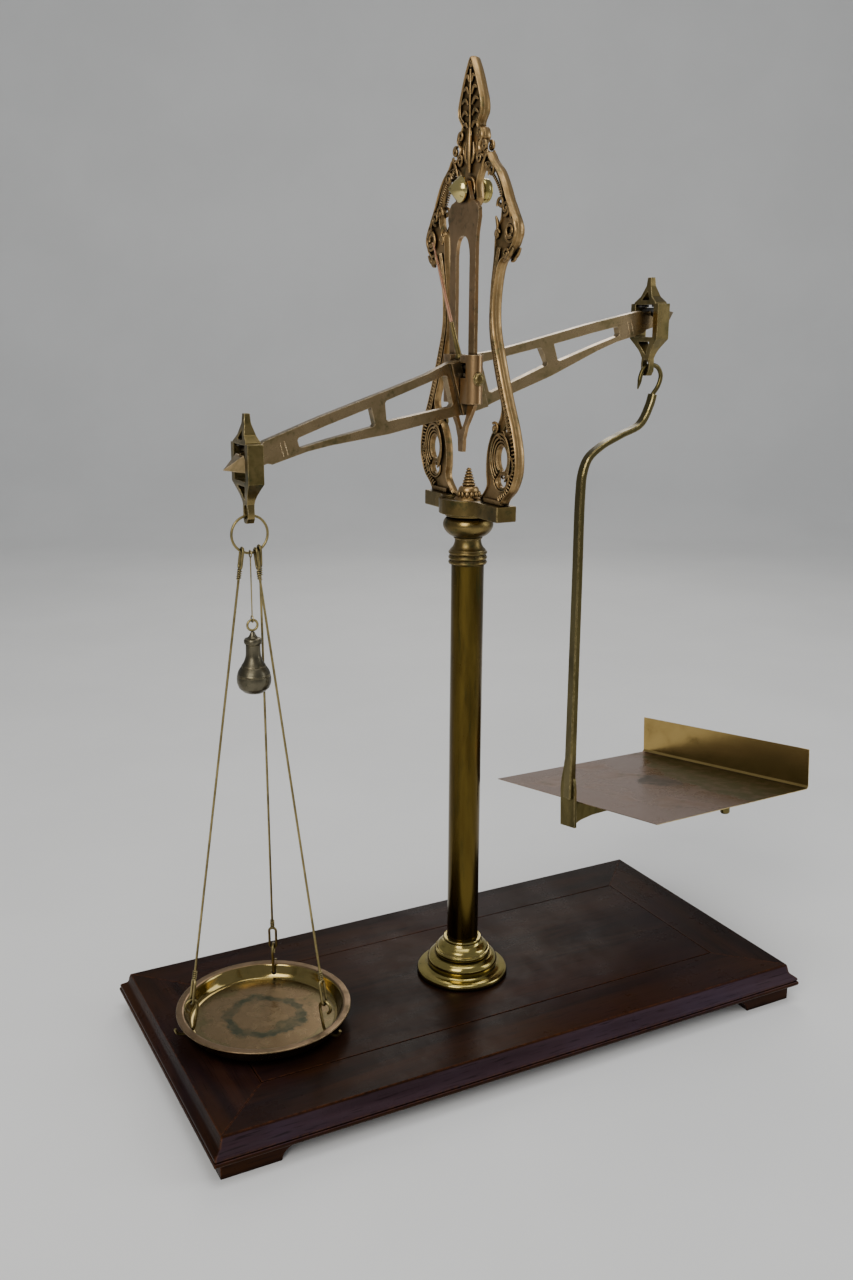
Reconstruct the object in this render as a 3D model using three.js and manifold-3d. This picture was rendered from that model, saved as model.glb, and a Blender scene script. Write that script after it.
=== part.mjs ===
// A brass counter beam scale on a mahogany base.
//
// Millimetres, +Z up. The origin is on the ground under the middle of the whole object.
// Everything hangs from one group whose own origin is on the board's top face, on the
// column's axis, so heights below are heights above the board and X and Y are measured
// from the column. The beam lies in the XZ plane, with the weights pan at -X and the
// goods plate at +X. The ornamental frame stands in the YZ plane.

import * as THREE from 'three';
import { mergeVertices } from 'three/addons/utils/BufferGeometryUtils.js';
import Module from 'manifold-3d';

const wasm = await Module();
wasm.setup();

// ---- driving dimensions -------------------------------------------------------------

const GAP = 0.3;                    // running gap between pieces that touch
const FINEST = 0.01;                // joined solids keep no edge shorter than this
const COLUMN_X = -20;               // column axis, from the middle of the whole object

const TOP_LENGTH = 500;             // flat top of the base, along X
const TOP_WIDTH = 237;              // flat top of the base, along Y
const BORDER = 45;                  // width of the frame round the base's centre panel
const MOULDING = 8;                 // how far the moulded edge stands out
const BOARD_THICKNESS = 18;
const FOOT_HEIGHT = 14;
const FOOT_INSET = 6;               // bracket feet, behind the moulding's widest edge

const COLUMN_RADIUS = 12.7;
const COLUMN_TOP = 347;
const ROD_RADIUS = 4;               // iron tie rod inside the column

const YOKE_BOTTOM = 384;
const YOKE_TOP = 398;

const FRAME_THICKNESS = 8;
const FRAME_TIP = 707;
const PIN_HEIGHT = 618.5;           // pin that carries the shears
const PIN_RADIUS = 3;

const SHEARS_X = -6.3;              // the shears and beam hang just in front of the frame
const BLOCK_INNER = 7.6;            // the shears' bearing blocks, from the beam's middle plane
const BLOCK_HALF = 6.6;
const BLOCK_BOTTOM = 469;
const BLOCK_TOP = 504;

const FULCRUM_HEIGHT = 491;
const ARM = 176;                    // fulcrum to end knife edge
const BEAM_TILT = THREE.MathUtils.degToRad(15.9);
const BEAM_THICKNESS = 7;

const END_X = ARM * Math.cos(BEAM_TILT);
const END_RISE = ARM * Math.sin(BEAM_TILT);
const LEFT_END = new THREE.Vector3(SHEARS_X - END_X, 0, FULCRUM_HEIGHT - END_RISE);
const RIGHT_END = new THREE.Vector3(SHEARS_X + END_X, 0, FULCRUM_HEIGHT + END_RISE);

const SHACKLE_DEPTH = 11.7;         // along the beam
const EYE_DROP = 44.6;              // shackle's knife edge down to its eye
const RING_RADIUS = 13.3;           // centreline
const RING_WIRE = 0.95;             // wire sizes are radii
const STAY_WIRE = 1;
const HOOK_WIRE = 1.15;
const EYE_WIDTH = 5.4;              // centreline width of the stays' long eyes

const PAN_RADIUS = 67;
const PAN_BOTTOM = 2;
const PAN_DEPTH = 13.5;
const PAN_WALL = 2.8;

const PLATE_DEPTH = 188;            // along X
const PLATE_WIDTH = 194;            // along the upstand
const PLATE_SHEET = 0.6;
const UPSTAND = 35;
const FORK_REACH = 104;             // along X, from the plate's inner edge
const FORK_SPREAD = 82;             // along Y, from the hanger's foot
const PLATE_CENTRE = new THREE.Vector3(188.4, 0, 133);
const PLATE_TURN = new THREE.Euler(
  THREE.MathUtils.degToRad(-7),
  THREE.MathUtils.degToRad(2.8),
  THREE.MathUtils.degToRad(8.5),
  'YXZ',
);

// ---- materials ----------------------------------------------------------------------

function material(color, roughness, metalness) {
  return new THREE.MeshStandardMaterial({ color, roughness, metalness });
}

const MAHOGANY = () => material(0x2b1610, 0.45, 0);
const BRASS = () => material(0x9a7d3e, 0.3, 1);
const OLD_BRASS = () => material(0x7d6538, 0.42, 1);
const COPPER = () => material(0xa0674d, 0.35, 1);
const STEEL = () => material(0x3c3a38, 0.4, 1);

// ---- solid helpers ------------------------------------------------------------------

// The same geometry with shared corners, and without the flat triangles at a lathe's poles.
function positionsOnly(geometry) {
  const bare = geometry.clone();
  for (const name of Object.keys(bare.attributes)) {
    if (name !== 'position') bare.deleteAttribute(name);
  }
  const merged = mergeVertices(bare, 1e-4);
  const kept = [];
  for (let i = 0; i < merged.index.count; i += 3) {
    const [a, b, c] = merged.index.array.slice(i, i + 3);
    if (a !== b && b !== c && c !== a) kept.push(a, b, c);
  }
  merged.setIndex(kept);
  return merged;
}

function signedVolume(geometry) {
  const position = geometry.attributes.position;
  const corner = [new THREE.Vector3(), new THREE.Vector3(), new THREE.Vector3()];
  let volume = 0;
  for (let i = 0; i < geometry.index.count; i += 3) {
    corner.forEach((c, k) => c.fromBufferAttribute(position, geometry.index.getX(i + k)));
    volume += corner[0].dot(corner[1].clone().cross(corner[2])) / 6;
  }
  return volume;
}

// A closed geometry as a manifold solid, turned right side out if it is inside out.
function solid(geometry) {
  const merged = positionsOnly(geometry);
  const triVerts = Uint32Array.from(merged.index.array);
  if (signedVolume(merged) < 0) {
    for (let i = 0; i < triVerts.length; i += 3) {
      [triVerts[i], triVerts[i + 1]] = [triVerts[i + 1], triVerts[i]];
    }
  }
  const vertProperties = Float32Array.from(merged.attributes.position.array);
  return new wasm.Manifold(new wasm.Mesh({ numProp: 3, vertProperties, triVerts }));
}

function geometryOf(manifold) {
  const mesh = manifold.simplify(FINEST).getMesh();
  const geometry = new THREE.BufferGeometry();
  geometry.setAttribute('position', new THREE.BufferAttribute(mesh.vertProperties, 3));
  geometry.setIndex(new THREE.BufferAttribute(mesh.triVerts, 1));
  geometry.computeVertexNormals();
  return geometry;
}

function unite(...geometries) {
  return geometryOf(geometries.map(solid).reduce((a, b) => a.add(b)));
}

function cut(geometry, ...tools) {
  return geometryOf(tools.map(solid).reduce((a, b) => a.subtract(b), solid(geometry)));
}

// ---- shape helpers ------------------------------------------------------------------

function box(width, depth, height, x = 0, y = 0, z = 0) {
  return new THREE.BoxGeometry(width, depth, height).translate(x, y, z);
}

// A turned piece: profile is a closed run of [radius, height] pairs, turned about Z.
function turned(profile, segments = 32) {
  const points = profile.map(([r, z]) => new THREE.Vector2(r, z));
  return new THREE.LatheGeometry(points, segments).rotateX(Math.PI / 2);
}

function rod(radius, from, to, segments = 16) {
  return turned([[0, from], [radius, from], [radius, to], [0, to]], segments);
}

function alongX(geometry) {
  return geometry.rotateY(Math.PI / 2);
}

// A flat shape drawn in Y and Z, standing in the YZ plane with the given thickness in X.
function plateYZ(shape, thickness, curveSegments = 6) {
  const options = { depth: thickness, bevelEnabled: false, curveSegments };
  const geometry = new THREE.ExtrudeGeometry(shape, options);
  return geometry.translate(0, 0, -thickness / 2).rotateX(Math.PI / 2).rotateZ(Math.PI / 2);
}

// A flat shape drawn in X and Z, standing in the XZ plane with the given thickness in Y.
function plateXZ(shape, thickness, curveSegments = 6) {
  const options = { depth: thickness, bevelEnabled: false, curveSegments };
  const geometry = new THREE.ExtrudeGeometry(shape, options);
  return geometry.translate(0, 0, -thickness / 2).rotateX(Math.PI / 2);
}

function polygon(points) {
  return new THREE.Shape(points.map(([a, b]) => new THREE.Vector2(a, b)));
}

// A closed outline that runs smoothly through its points.
function smoothShape(points, divisions) {
  const curve = new THREE.CatmullRomCurve3(
    points.map(([a, b]) => new THREE.Vector3(a, b, 0)), true, 'centripetal');
  return new THREE.Shape(curve.getPoints(divisions).slice(0, -1)
    .map((p) => new THREE.Vector2(p.x, p.y)));
}

function oval(a, b, radiusA, radiusB) {
  return new THREE.Shape().absellipse(a, b, radiusA, radiusB, 0, Math.PI * 2, false, 0);
}

function ngon(radius, sides) {
  const corner = (_, i) => {
    const angle = (i / sides) * Math.PI * 2;
    return [radius * Math.cos(angle), radius * Math.sin(angle)];
  };
  return polygon(Array.from({ length: sides }, corner));
}

function sweep(curve, section, steps) {
  return new THREE.ExtrudeGeometry(section, { extrudePath: curve, steps, bevelEnabled: false });
}

function wire(points, radius, steps, sides = 8) {
  const curve = new THREE.CatmullRomCurve3(points, false, 'centripetal');
  return sweep(curve, ngon(radius, sides), steps);
}

function ring(centreRadius, wireRadius, segments = 36, sides = 8) {
  return new THREE.TorusGeometry(centreRadius, wireRadius, sides, segments);
}

// A long eye of wire in the XZ plane, with its lowest point at the origin.
function longEye(width, length, wireRadius) {
  const half = width / 2;
  const centreDistance = (length - width) / 2;
  const points = [];
  const arcSteps = 6;
  for (const end of [1, -1]) {
    for (let i = 0; i < arcSteps; i += 1) {
      const angle = (end > 0 ? 0 : Math.PI) + (i / (arcSteps - 1)) * Math.PI;
      const rise = half * Math.sin(angle) + end * centreDistance;
      points.push(new THREE.Vector3(half * Math.cos(angle), 0, rise + length / 2));
    }
  }
  const curve = new THREE.CatmullRomCurve3(points, true, 'centripetal');
  return new THREE.TubeGeometry(curve, 20, wireRadius, 6, true);
}

const scale = new THREE.Group();
scale.position.set(COLUMN_X, 0, BOARD_THICKNESS + FOOT_HEIGHT);

function add(name, geometry, look, parent = scale) {
  const mesh = new THREE.Mesh(geometry, look);
  mesh.name = name;
  parent.add(mesh);
  return mesh;
}

function placed(position, rotation = new THREE.Euler(), parent = scale) {
  const group = new THREE.Group();
  group.position.copy(position);
  group.rotation.copy(rotation);
  parent.add(group);
  return group;
}

// ---- base ---------------------------------------------------------------------------

const PANEL_LENGTH = TOP_LENGTH - 2 * BORDER;
const PANEL_WIDTH = TOP_WIDTH - 2 * BORDER;

// One mitred side of the base's frame, lying along X with its moulding towards +Y.
function borderRail(panelLength) {
  const inner = GAP;
  const section = new THREE.Shape();
  section.moveTo(inner, 0);
  section.lineTo(inner, -BOARD_THICKNESS);
  section.lineTo(BORDER + MOULDING - 1, -BOARD_THICKNESS);
  section.lineTo(BORDER + MOULDING, -BOARD_THICKNESS + 1);
  section.lineTo(BORDER + MOULDING, -14);
  section.quadraticCurveTo(BORDER + MOULDING - 0.5, -11.5, BORDER + 4.5, -9.5);
  section.quadraticCurveTo(BORDER + 1.5, -7.5, BORDER + 1.2, -2);
  section.lineTo(BORDER, 0);
  const geometry = new THREE.ExtrudeGeometry(section, {
    depth: 1, bevelEnabled: false, curveSegments: 5,
  });
  // The section's outward coordinate sets how far each mitred end reaches.
  const position = geometry.attributes.position;
  for (let i = 0; i < position.count; i += 1) {
    const outward = position.getX(i);
    const height = position.getY(i);
    const end = position.getZ(i) > 0.5 ? 1 : -1;
    const mitre = panelLength / 2 + outward - GAP / 2;
    position.setXYZ(i, end * mitre, outward, height);
  }
  return geometry;
}

function addBase() {
  const panel = box(PANEL_LENGTH, PANEL_WIDTH, BOARD_THICKNESS, 0, 0, -BOARD_THICKNESS / 2);
  add('base_panel', cut(panel, rod(ROD_RADIUS + GAP, -BOARD_THICKNESS - 1, 1)), MAHOGANY());
  const sides = [
    ['base_rail_back', PANEL_LENGTH, PANEL_WIDTH, 0],
    ['base_rail_left', PANEL_WIDTH, PANEL_LENGTH, Math.PI / 2],
    ['base_rail_front', PANEL_LENGTH, PANEL_WIDTH, Math.PI],
    ['base_rail_right', PANEL_WIDTH, PANEL_LENGTH, -Math.PI / 2],
  ];
  for (const [name, along, across, turn] of sides) {
    const rail = borderRail(along).translate(0, across / 2, 0).rotateZ(turn);
    add(name, geometryOf(solid(rail)), MAHOGANY());
  }
}

// One leg of a bracket foot, from the corner along +X, with a hollow curve at its far end.
function footLeg(length) {
  const curve = 12;
  const thickness = 16;
  const outline = new THREE.Shape();
  outline.moveTo(0, 0);
  outline.lineTo(0, -FOOT_HEIGHT);
  outline.lineTo(length - curve, -FOOT_HEIGHT);
  outline.quadraticCurveTo(length - curve + 1.5, -5, length, -3);
  outline.lineTo(length, 0);
  return plateXZ(outline, thickness).translate(0, thickness / 2, 0);
}

function addFeet() {
  const cornerX = TOP_LENGTH / 2 + MOULDING - FOOT_INSET;
  const cornerY = TOP_WIDTH / 2 + MOULDING - FOOT_INSET;
  const mirrored = new THREE.Matrix4().set(0, 1, 0, 0, 1, 0, 0, 0, 0, 0, 1, 0, 0, 0, 0, 1);
  for (const [name, sx, sy] of [
    ['foot_front_left', 1, 1], ['foot_front_right', -1, 1],
    ['foot_back_left', 1, -1], ['foot_back_right', -1, -1],
  ]) {
    const corner = unite(footLeg(56), footLeg(46).applyMatrix4(mirrored));
    const inward = corner.scale(sx, sy, 1);
    const at = inward.translate(-sx * cornerX, -sy * cornerY, -BOARD_THICKNESS);
    add(name, geometryOf(solid(at)), MAHOGANY());
  }
}

// ---- column -------------------------------------------------------------------------

function addColumn() {
  const bore = COLUMN_RADIUS + GAP;
  add('column_foot', turned([
    [ROD_RADIUS + GAP, 0.2], [36, 0.2], [37.4, 1.6], [37.5, 3.4], [36, 5.2], [32, 6.6],
    [28.6, 7.4], [28.6, 9.5], [28.9, 12], [27.6, 15], [24.6, 16.8], [22.4, 17.2],
    [22.9, 19.6], [22.6, 22.4], [20.4, 25], [17.4, 27.4], [15.6, 29.8], [15.2, 31.6],
    [bore, 31.9], [bore, 8], [ROD_RADIUS + GAP, 8], [ROD_RADIUS + GAP, 0.2],
  ], 32), BRASS());
  const tubeWall = 1.4;
  add('column_tube', turned([
    [COLUMN_RADIUS - tubeWall, 8.3], [COLUMN_RADIUS, 8.3], [COLUMN_RADIUS, COLUMN_TOP],
    [COLUMN_RADIUS - tubeWall, COLUMN_TOP], [COLUMN_RADIUS - tubeWall, 8.3],
  ]), BRASS());
  add('tie_rod', rod(ROD_RADIUS, -BOARD_THICKNESS - 9, YOKE_BOTTOM - 8), STEEL());
  const underside = -BOARD_THICKNESS - GAP;
  add('rod_washer', turned([
    [ROD_RADIUS + GAP, underside], [ROD_RADIUS + GAP, underside - 1.8], [13, underside - 1.8],
    [13, underside], [ROD_RADIUS + GAP, underside],
  ], 24), STEEL());
  const nut = new THREE.CylinderGeometry(8, 8, 6, 6).rotateX(Math.PI / 2);
  nut.translate(0, 0, underside - 1.8 - GAP - 3);
  add('rod_nut', cut(nut, rod(ROD_RADIUS + GAP, -40, 0)), STEEL());

  const socket = ROD_RADIUS + GAP;
  add('capital', turned([
    [socket, COLUMN_TOP + GAP], [14.6, COLUMN_TOP + GAP], [14.9, 348.6], [14.3, 349.8],
    [14.1, 351], [14.9, 352.2], [14.9, 353.6], [13.9, 354.6], [14.1, 356], [14.6, 357.4],
    [13.8, 358.8], [11.6, 360.6], [10.4, 363.6], [10.1, 367.2], [11.4, 368], [14.8, 370],
    [17.8, 373], [19.3, 376.6], [19, 380], [17.4, 382.4], [15.4, 383.6], [0, 383.6],
    [0, 377], [socket, 377], [socket, COLUMN_TOP + GAP],
  ], 28), OLD_BRASS());
}

// ---- yoke ---------------------------------------------------------------------------

function addYoke() {
  const lugLength = 112;
  const lugWidth = 16.7;
  const disc = turned([
    [0, YOKE_BOTTOM], [17, YOKE_BOTTOM], [18, 386], [20.6, 387.5], [21.6, 390], [22.6, 391],
    [22.6, YOKE_TOP], [20.4, YOKE_TOP], [19.4, 395.6], [0, 395],
  ]);
  const lugs = box(lugWidth, lugLength, 11.4, 0, 0, YOKE_TOP - 5.7);
  const dish = turned([[0, 395], [19.4, 395.6], [20.4, YOKE_TOP + 1], [0, YOKE_TOP + 1]]);
  add('yoke', cut(unite(disc, lugs), dish), OLD_BRASS());

  add('yoke_finial', turned([
    [0, 395.4], [11, 395.8], [11.2, 397.6], [8.6, 399.4], [7.6, 402], [8, 404.4], [6, 406.6],
    [4.2, 408], [4.6, 410], [3.9, 411.4], [4.3, 413], [3.5, 414.6], [3.8, 416.2], [2.8, 418],
    [2.6, 419.4], [1.2, 420.6], [0, 420.8],
  ], 18), OLD_BRASS());
}

// ---- ornamental frame ---------------------------------------------------------------

// A half outline and its mirror image; a point on the middle line is not repeated.
function bothSides(half) {
  const mirrored = half.filter(([y]) => y > 0).reverse().map(([y, z]) => [-y, z]);
  return half.concat(mirrored);
}

function addFrame() {
  const outline = smoothShape(bothSides([
    [30, YOKE_TOP + GAP], [52, YOKE_TOP + GAP], [57, 403], [66, 410], [72.5, 422], [73, 436],
    [68, 453], [58, 474], [47, 500], [38.5, 525], [39, 548], [45, 566], [54, 571],
    [63, 579], [65.5, 590], [59, 601], [53.5, 609], [49, 617], [41, 628], [31, 636],
    [26, 641.5], [21, 640], [15, 646], [19, 652], [17, 658], [12, 661],
    [17, 668], [17.5, 674], [13, 686], [6, 700], [0, FRAME_TIP],
  ]), 150);

  const mainOpening = smoothShape(bothSides([
    [19, YOKE_TOP - 9], [24, 403], [31, 411], [30, 420], [31, 436], [37, 449],
    [45, 456], [50, 467], [44, 482], [37, 500], [31, 522], [31.5, 548], [35.5, 572],
    [37.5, 590], [43.5, 596], [44, 612], [37, 624], [27, 631.5], [16, 630], [10.5, 622],
    [11.5, 612], [6, 606],
  ]), 110);
  const tools = [plateYZ(mainOpening, FRAME_THICKNESS + 4)];
  for (const side of [1, -1]) {
    const holes = [
      [48, 431, 5, 7.2], [49.5, 418, 4.4, 3.8], [60, 589, 3, 6], [9, 646, 2.2, 4.2],
    ];
    for (const [y, z, halfWidth, halfHeight] of holes) {
      tools.push(plateYZ(oval(side * y, z, halfWidth, halfHeight), FRAME_THICKNESS + 4));
    }
    const scrollGap = polygon([[side * 55.5, 446], [side * 51, 452], [side * 56.5, 458]]);
    tools.push(plateYZ(scrollGap, FRAME_THICKNESS + 4));
  }
  const base = box(FRAME_THICKNESS + 6, 160, 20, 0, 0, YOKE_TOP + GAP - 10);
  tools.push(base);
  tools.push(alongX(rod(PIN_RADIUS + GAP, -20, 20)).translate(0, 0, PIN_HEIGHT));
  const boss = alongX(rod(9.5, -FRAME_THICKNESS / 2, FRAME_THICKNESS / 2, 28));
  boss.translate(0, 0, PIN_HEIGHT);
  const body = unite(plateYZ(outline, FRAME_THICKNESS), boss);
  const opened = cut(body, ...tools.slice(0, -2));
  const withBoss = unite(opened, boss);
  add('lyre_frame', cut(withBoss, ...tools.slice(-2)), OLD_BRASS());

  for (const [name, side] of [['frame_screw_front', -1], ['frame_screw_back', 1]]) {
    const screw = rod(2.2, YOKE_TOP - 11.4 - 1.2, YOKE_TOP - 11.4 - GAP, 16);
    add(name, screw.translate(0, side * 45, 0), STEEL());
  }
}

// ---- top pin and shears -------------------------------------------------------------

function addPin() {
  const half = FRAME_THICKNESS / 2;
  const pin = placed(new THREE.Vector3(0, 0, PIN_HEIGHT));
  add('top_pin', alongX(turned([
    [0, -20.5], [7.6, -12], [9, -10.6], [9, -9.4], [PIN_RADIUS, -9.4], [PIN_RADIUS, 15],
    [0, 15],
  ], 28)), BRASS(), pin);
  add('pin_nut', alongX(turned([
    [PIN_RADIUS + GAP, half + GAP], [8, half + GAP], [8.6, 8], [8.2, 11.6], [5, 13.4],
    [PIN_RADIUS + GAP, 13.4], [PIN_RADIUS + GAP, half + GAP],
  ], 24)), OLD_BRASS(), pin);
  add('pin_collar', alongX(turned([
    [PIN_RADIUS + GAP, -9.1], [7.2, -9.1], [7.2, -8.2], [PIN_RADIUS + GAP, -8.2],
    [PIN_RADIUS + GAP, -9.1],
  ], 24)), STEEL(), pin);
}

// One of the two blocks on the shears' legs that carry the beam's middle knife.
function bearingBlock(side) {
  const plan = new THREE.Shape();
  plan.moveTo(-BLOCK_HALF, BLOCK_INNER);
  plan.lineTo(BLOCK_HALF, BLOCK_INNER);
  plan.lineTo(BLOCK_HALF, BLOCK_INNER + 8);
  plan.absellipse(0, BLOCK_INNER + 8, BLOCK_HALF, 7.5, 0, Math.PI, false, 0);
  const options = { depth: BLOCK_TOP - BLOCK_BOTTOM, bevelEnabled: false, curveSegments: 12 };
  const block = new THREE.ExtrudeGeometry(plan, options);
  return block.scale(1, side, 1).translate(0, 0, BLOCK_BOTTOM);
}

function addShears() {
  const shears = placed(new THREE.Vector3(SHEARS_X, 0, 0));
  const half = [
    [0, PIN_HEIGHT + 7.5], [5.4, PIN_HEIGHT + 5.4], [7.6, PIN_HEIGHT], [11, 611.5],
    [17.5, 609.5], [22, 605], [22.5, 599], [19.6, 588], [18.8, 578], [18.6, 530], [18.6, 503],
    [20.5, 488], [19.8, 468], [14.5, 460.5], [8, 452], [4.2, 443], [3.4, 433], [0, 432.8],
  ];
  const outline = polygon(bothSides(half));
  const legGap = smoothShape(bothSides([
    [0, 587], [6, 585], [9.6, 577], [10, 560], [10, 530], [10, 490], [9.8, 470],
    [8.6, 462], [4.6, 454], [0, 449],
  ]), 56);
  const thickness = 3;
  const plate = cut(
    plateYZ(outline, thickness),
    plateYZ(legGap, thickness + 2),
    alongX(rod(PIN_RADIUS + GAP, -5, 5, 20)).translate(0, 0, PIN_HEIGHT),
  );
  const beamPath = box(30, 2 * BLOCK_INNER, 50, 0, 0, (BLOCK_TOP + BLOCK_BOTTOM) / 2);
  const windowHeight = 11;
  const windowDepth = 8.6;
  const windows = [1, -1].map((side) => box(
    30, windowDepth, windowHeight,
    0, side * (BLOCK_INNER + windowDepth / 2 - 0.5), FULCRUM_HEIGHT + windowHeight / 2 - 3.6));
  const body = unite(plate, bearingBlock(1), bearingBlock(-1));
  add('shears', cut(body, beamPath, ...windows), BRASS(), shears);

  for (const [name, side] of [['bearing_steel_front', -1], ['bearing_steel_back', 1]]) {
    const steel = box(
      9, windowDepth - 1.6, 3, 0, side * (BLOCK_INNER + windowDepth / 2 - 0.3),
      FULCRUM_HEIGHT - GAP - 1.5);
    add(name, steel, STEEL(), shears);
  }
  for (const [name, side] of [['bearing_screw_front', -1], ['bearing_screw_back', 1]]) {
    const head = turned([[0, 0], [4.6, 0], [4.8, 0.8], [3.6, 2], [2, 2.6], [0, 2.7]], 20);
    head.translate(0, 0, BLOCK_INNER + 15.5 + GAP).rotateX(-side * Math.PI / 2);
    add(name, head.translate(0, 0, FULCRUM_HEIGHT - 4), OLD_BRASS(), shears);
  }
}

// ---- beam ---------------------------------------------------------------------------

// The beam's outline in its own frame: its three knife edges lie on the X axis.
function beamOutline() {
  const top = [[12, 10.5], [30, 8], [60, 6.4], [118, 4], [ARM - 12, 0.6], [ARM - 8, -2]];
  const bottom = [
    [ARM - 8, -14], [ARM - 13, -16.6], [ARM - 40, -16.2], [118, -17.6], [72, -24],
    [30, -27], [10, -29],
  ];
  const right = top.concat(bottom);
  const left = right.slice().reverse().map(([x, z]) => [-x, z]);
  return polygon(right.concat(left));
}

function beamWindow(points, side) {
  return plateXZ(polygon(points.map(([x, z]) => [side * x, z])), BEAM_THICKNESS + 20);
}

function addBeam() {
  const beam = placed(
    new THREE.Vector3(SHEARS_X, 0, FULCRUM_HEIGHT), new THREE.Euler(0, -BEAM_TILT, 0));
  const windows = [];
  for (const side of [1, -1]) {
    windows.push(beamWindow([[17, 3], [32, 1.8], [67, -0.6], [68.6, -2], [70.8, -13.4],
      [70, -15], [32, -19], [18, -20.4], [16, -19], [15.4, 1.6]], side));
    windows.push(beamWindow([[80, -1.6], [118, -3.4], [139, -5], [140.4, -6.4], [140.4, -11],
      [139, -12.2], [118, -13], [82, -15.2], [80.4, -14]], side));
  }
  const boss = box(22, 2 * BLOCK_INNER - 1.6, 39, 0, 0, -9.5);
  const knifeSlot = box(6.4, 40, 8.2, 0, 0, 3);
  const bar = cut(plateXZ(beamOutline(), BEAM_THICKNESS), ...windows);
  const ends = [1, -1].map((side) => box(5.6, 20, 6.4, side * ARM, 0, -3.4));
  const tips = [1, -1].map((side) => {
    const stub = box(20, BEAM_THICKNESS, 13, side * (ARM - 2), 0, -8.4);
    const point = new THREE.ConeGeometry(11.6, 15, 4, 1, false, Math.PI / 4);
    point.rotateZ(-side * Math.PI / 2).scale(1, 1, 0.8);
    return unite(stub, point.translate(side * (ARM + 14), 0, -9.6));
  });
  const body = unite(bar, boss, ...tips);
  add('beam', cut(body, knifeSlot, ...ends), BRASS(), beam);

  const knifeSection = polygon([[0, 0], [2.4, 4], [2.4, 6.2], [-2.4, 6.2], [-2.4, 4]]);
  add('knife_centre', plateXZ(knifeSection, 2 * BLOCK_INNER + 12), STEEL(), beam);
  const endSection = polygon([[0, 0], [2.1, -3.4], [2.1, -6], [-2.1, -6], [-2.1, -3.4]]);
  for (const [name, side] of [['knife_left', -1], ['knife_right', 1]]) {
    add(name, plateXZ(endSection, 19).translate(side * ARM, 0, 0), STEEL(), beam);
  }
  const socket = 10.5 + GAP;
  add('pointer_stem', turned([
    [0, socket], [3.2, socket], [3.2, socket + 1.6], [2.1, socket + 3], [1.6, 37.5],
    [0, 37.5],
  ], 16), OLD_BRASS(), beam);
  add('pointer_needle', turned([
    [0, 37.5 + GAP], [1.25, 37.5 + GAP], [1.1, 66], [0.5, 93], [0, 94.2],
  ], 12), COPPER(), beam);
}

// ---- shackles -----------------------------------------------------------------------

// A shackle hangs on its knife edge, which is at the origin. Its two cheeks are joined
// above and below the beam, and it ends in a nib on top and an eye underneath.
function addShackle(name, end) {
  const shackle = placed(end);
  const outline = polygon(bothSides([
    [0, 23], [2.4, 23], [2.8, 17], [7, 8.5], [13.4, 4], [13.4, 3], [17.4, 3], [17.4, -24],
    [13, -28], [8, -33], [4.6, -39], [5.6, -44], [5, -49], [2.2, -52.6], [0, -52.8],
  ]));
  const upper = polygon(bothSides([[0, 12.4], [4.6, 6.2], [4.6, 5.4]]));
  const middle = polygon(bothSides([[11.4, 2.2], [11.4, -22.6]]));
  const lower = polygon(bothSides([[0, -36.4], [3.4, -31.4], [7, -27], [7, -26.2]]));
  const eye = oval(0, -EYE_DROP, 3.8, 5);
  const deep = 30;
  const frame = cut(
    plateYZ(outline, SHACKLE_DEPTH), plateYZ(upper, deep), plateYZ(middle, deep),
    plateYZ(lower, deep), plateYZ(eye, deep, 12));
  // Above and below the box the metal thins towards both ends.
  const side = polygon([
    [-2, 24], [2, 24], [2.6, 16], [SHACKLE_DEPTH / 2, 3], [SHACKLE_DEPTH / 2, -24],
    [3, -36], [2.4, -44], [3, -54], [-3, -54], [-2.4, -44], [-3, -36],
    [-SHACKLE_DEPTH / 2, -24], [-SHACKLE_DEPTH / 2, 3], [-2.6, 16],
  ]);
  const envelope = solid(plateXZ(side, 50));
  add(`shackle_${name}`, geometryOf(solid(frame).intersect(envelope)), OLD_BRASS(), shackle);
  for (const [place, y] of [['front', -8.9], ['back', 8.9]]) {
    const bearing = box(8, 4.2, 1.8, 0, y, GAP + 0.9);
    add(`shackle_steel_${name}_${place}`, bearing, STEEL(), shackle);
  }
}

// ---- weights pan side ---------------------------------------------------------------

// A long eye whose length runs along `up` and whose width runs along `sideways`.
function eyeAlong(up, sideways, length) {
  const normal = new THREE.Vector3().crossVectors(up, sideways).normalize();
  const width = new THREE.Vector3().crossVectors(normal, up);
  const frame = new THREE.Matrix4().makeBasis(width, normal, up);
  if (frame.determinant() < 0) frame.makeBasis(width, normal.negate(), up);
  return longEye(EYE_WIDTH, length, STAY_WIRE).applyMatrix4(frame);
}

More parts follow.
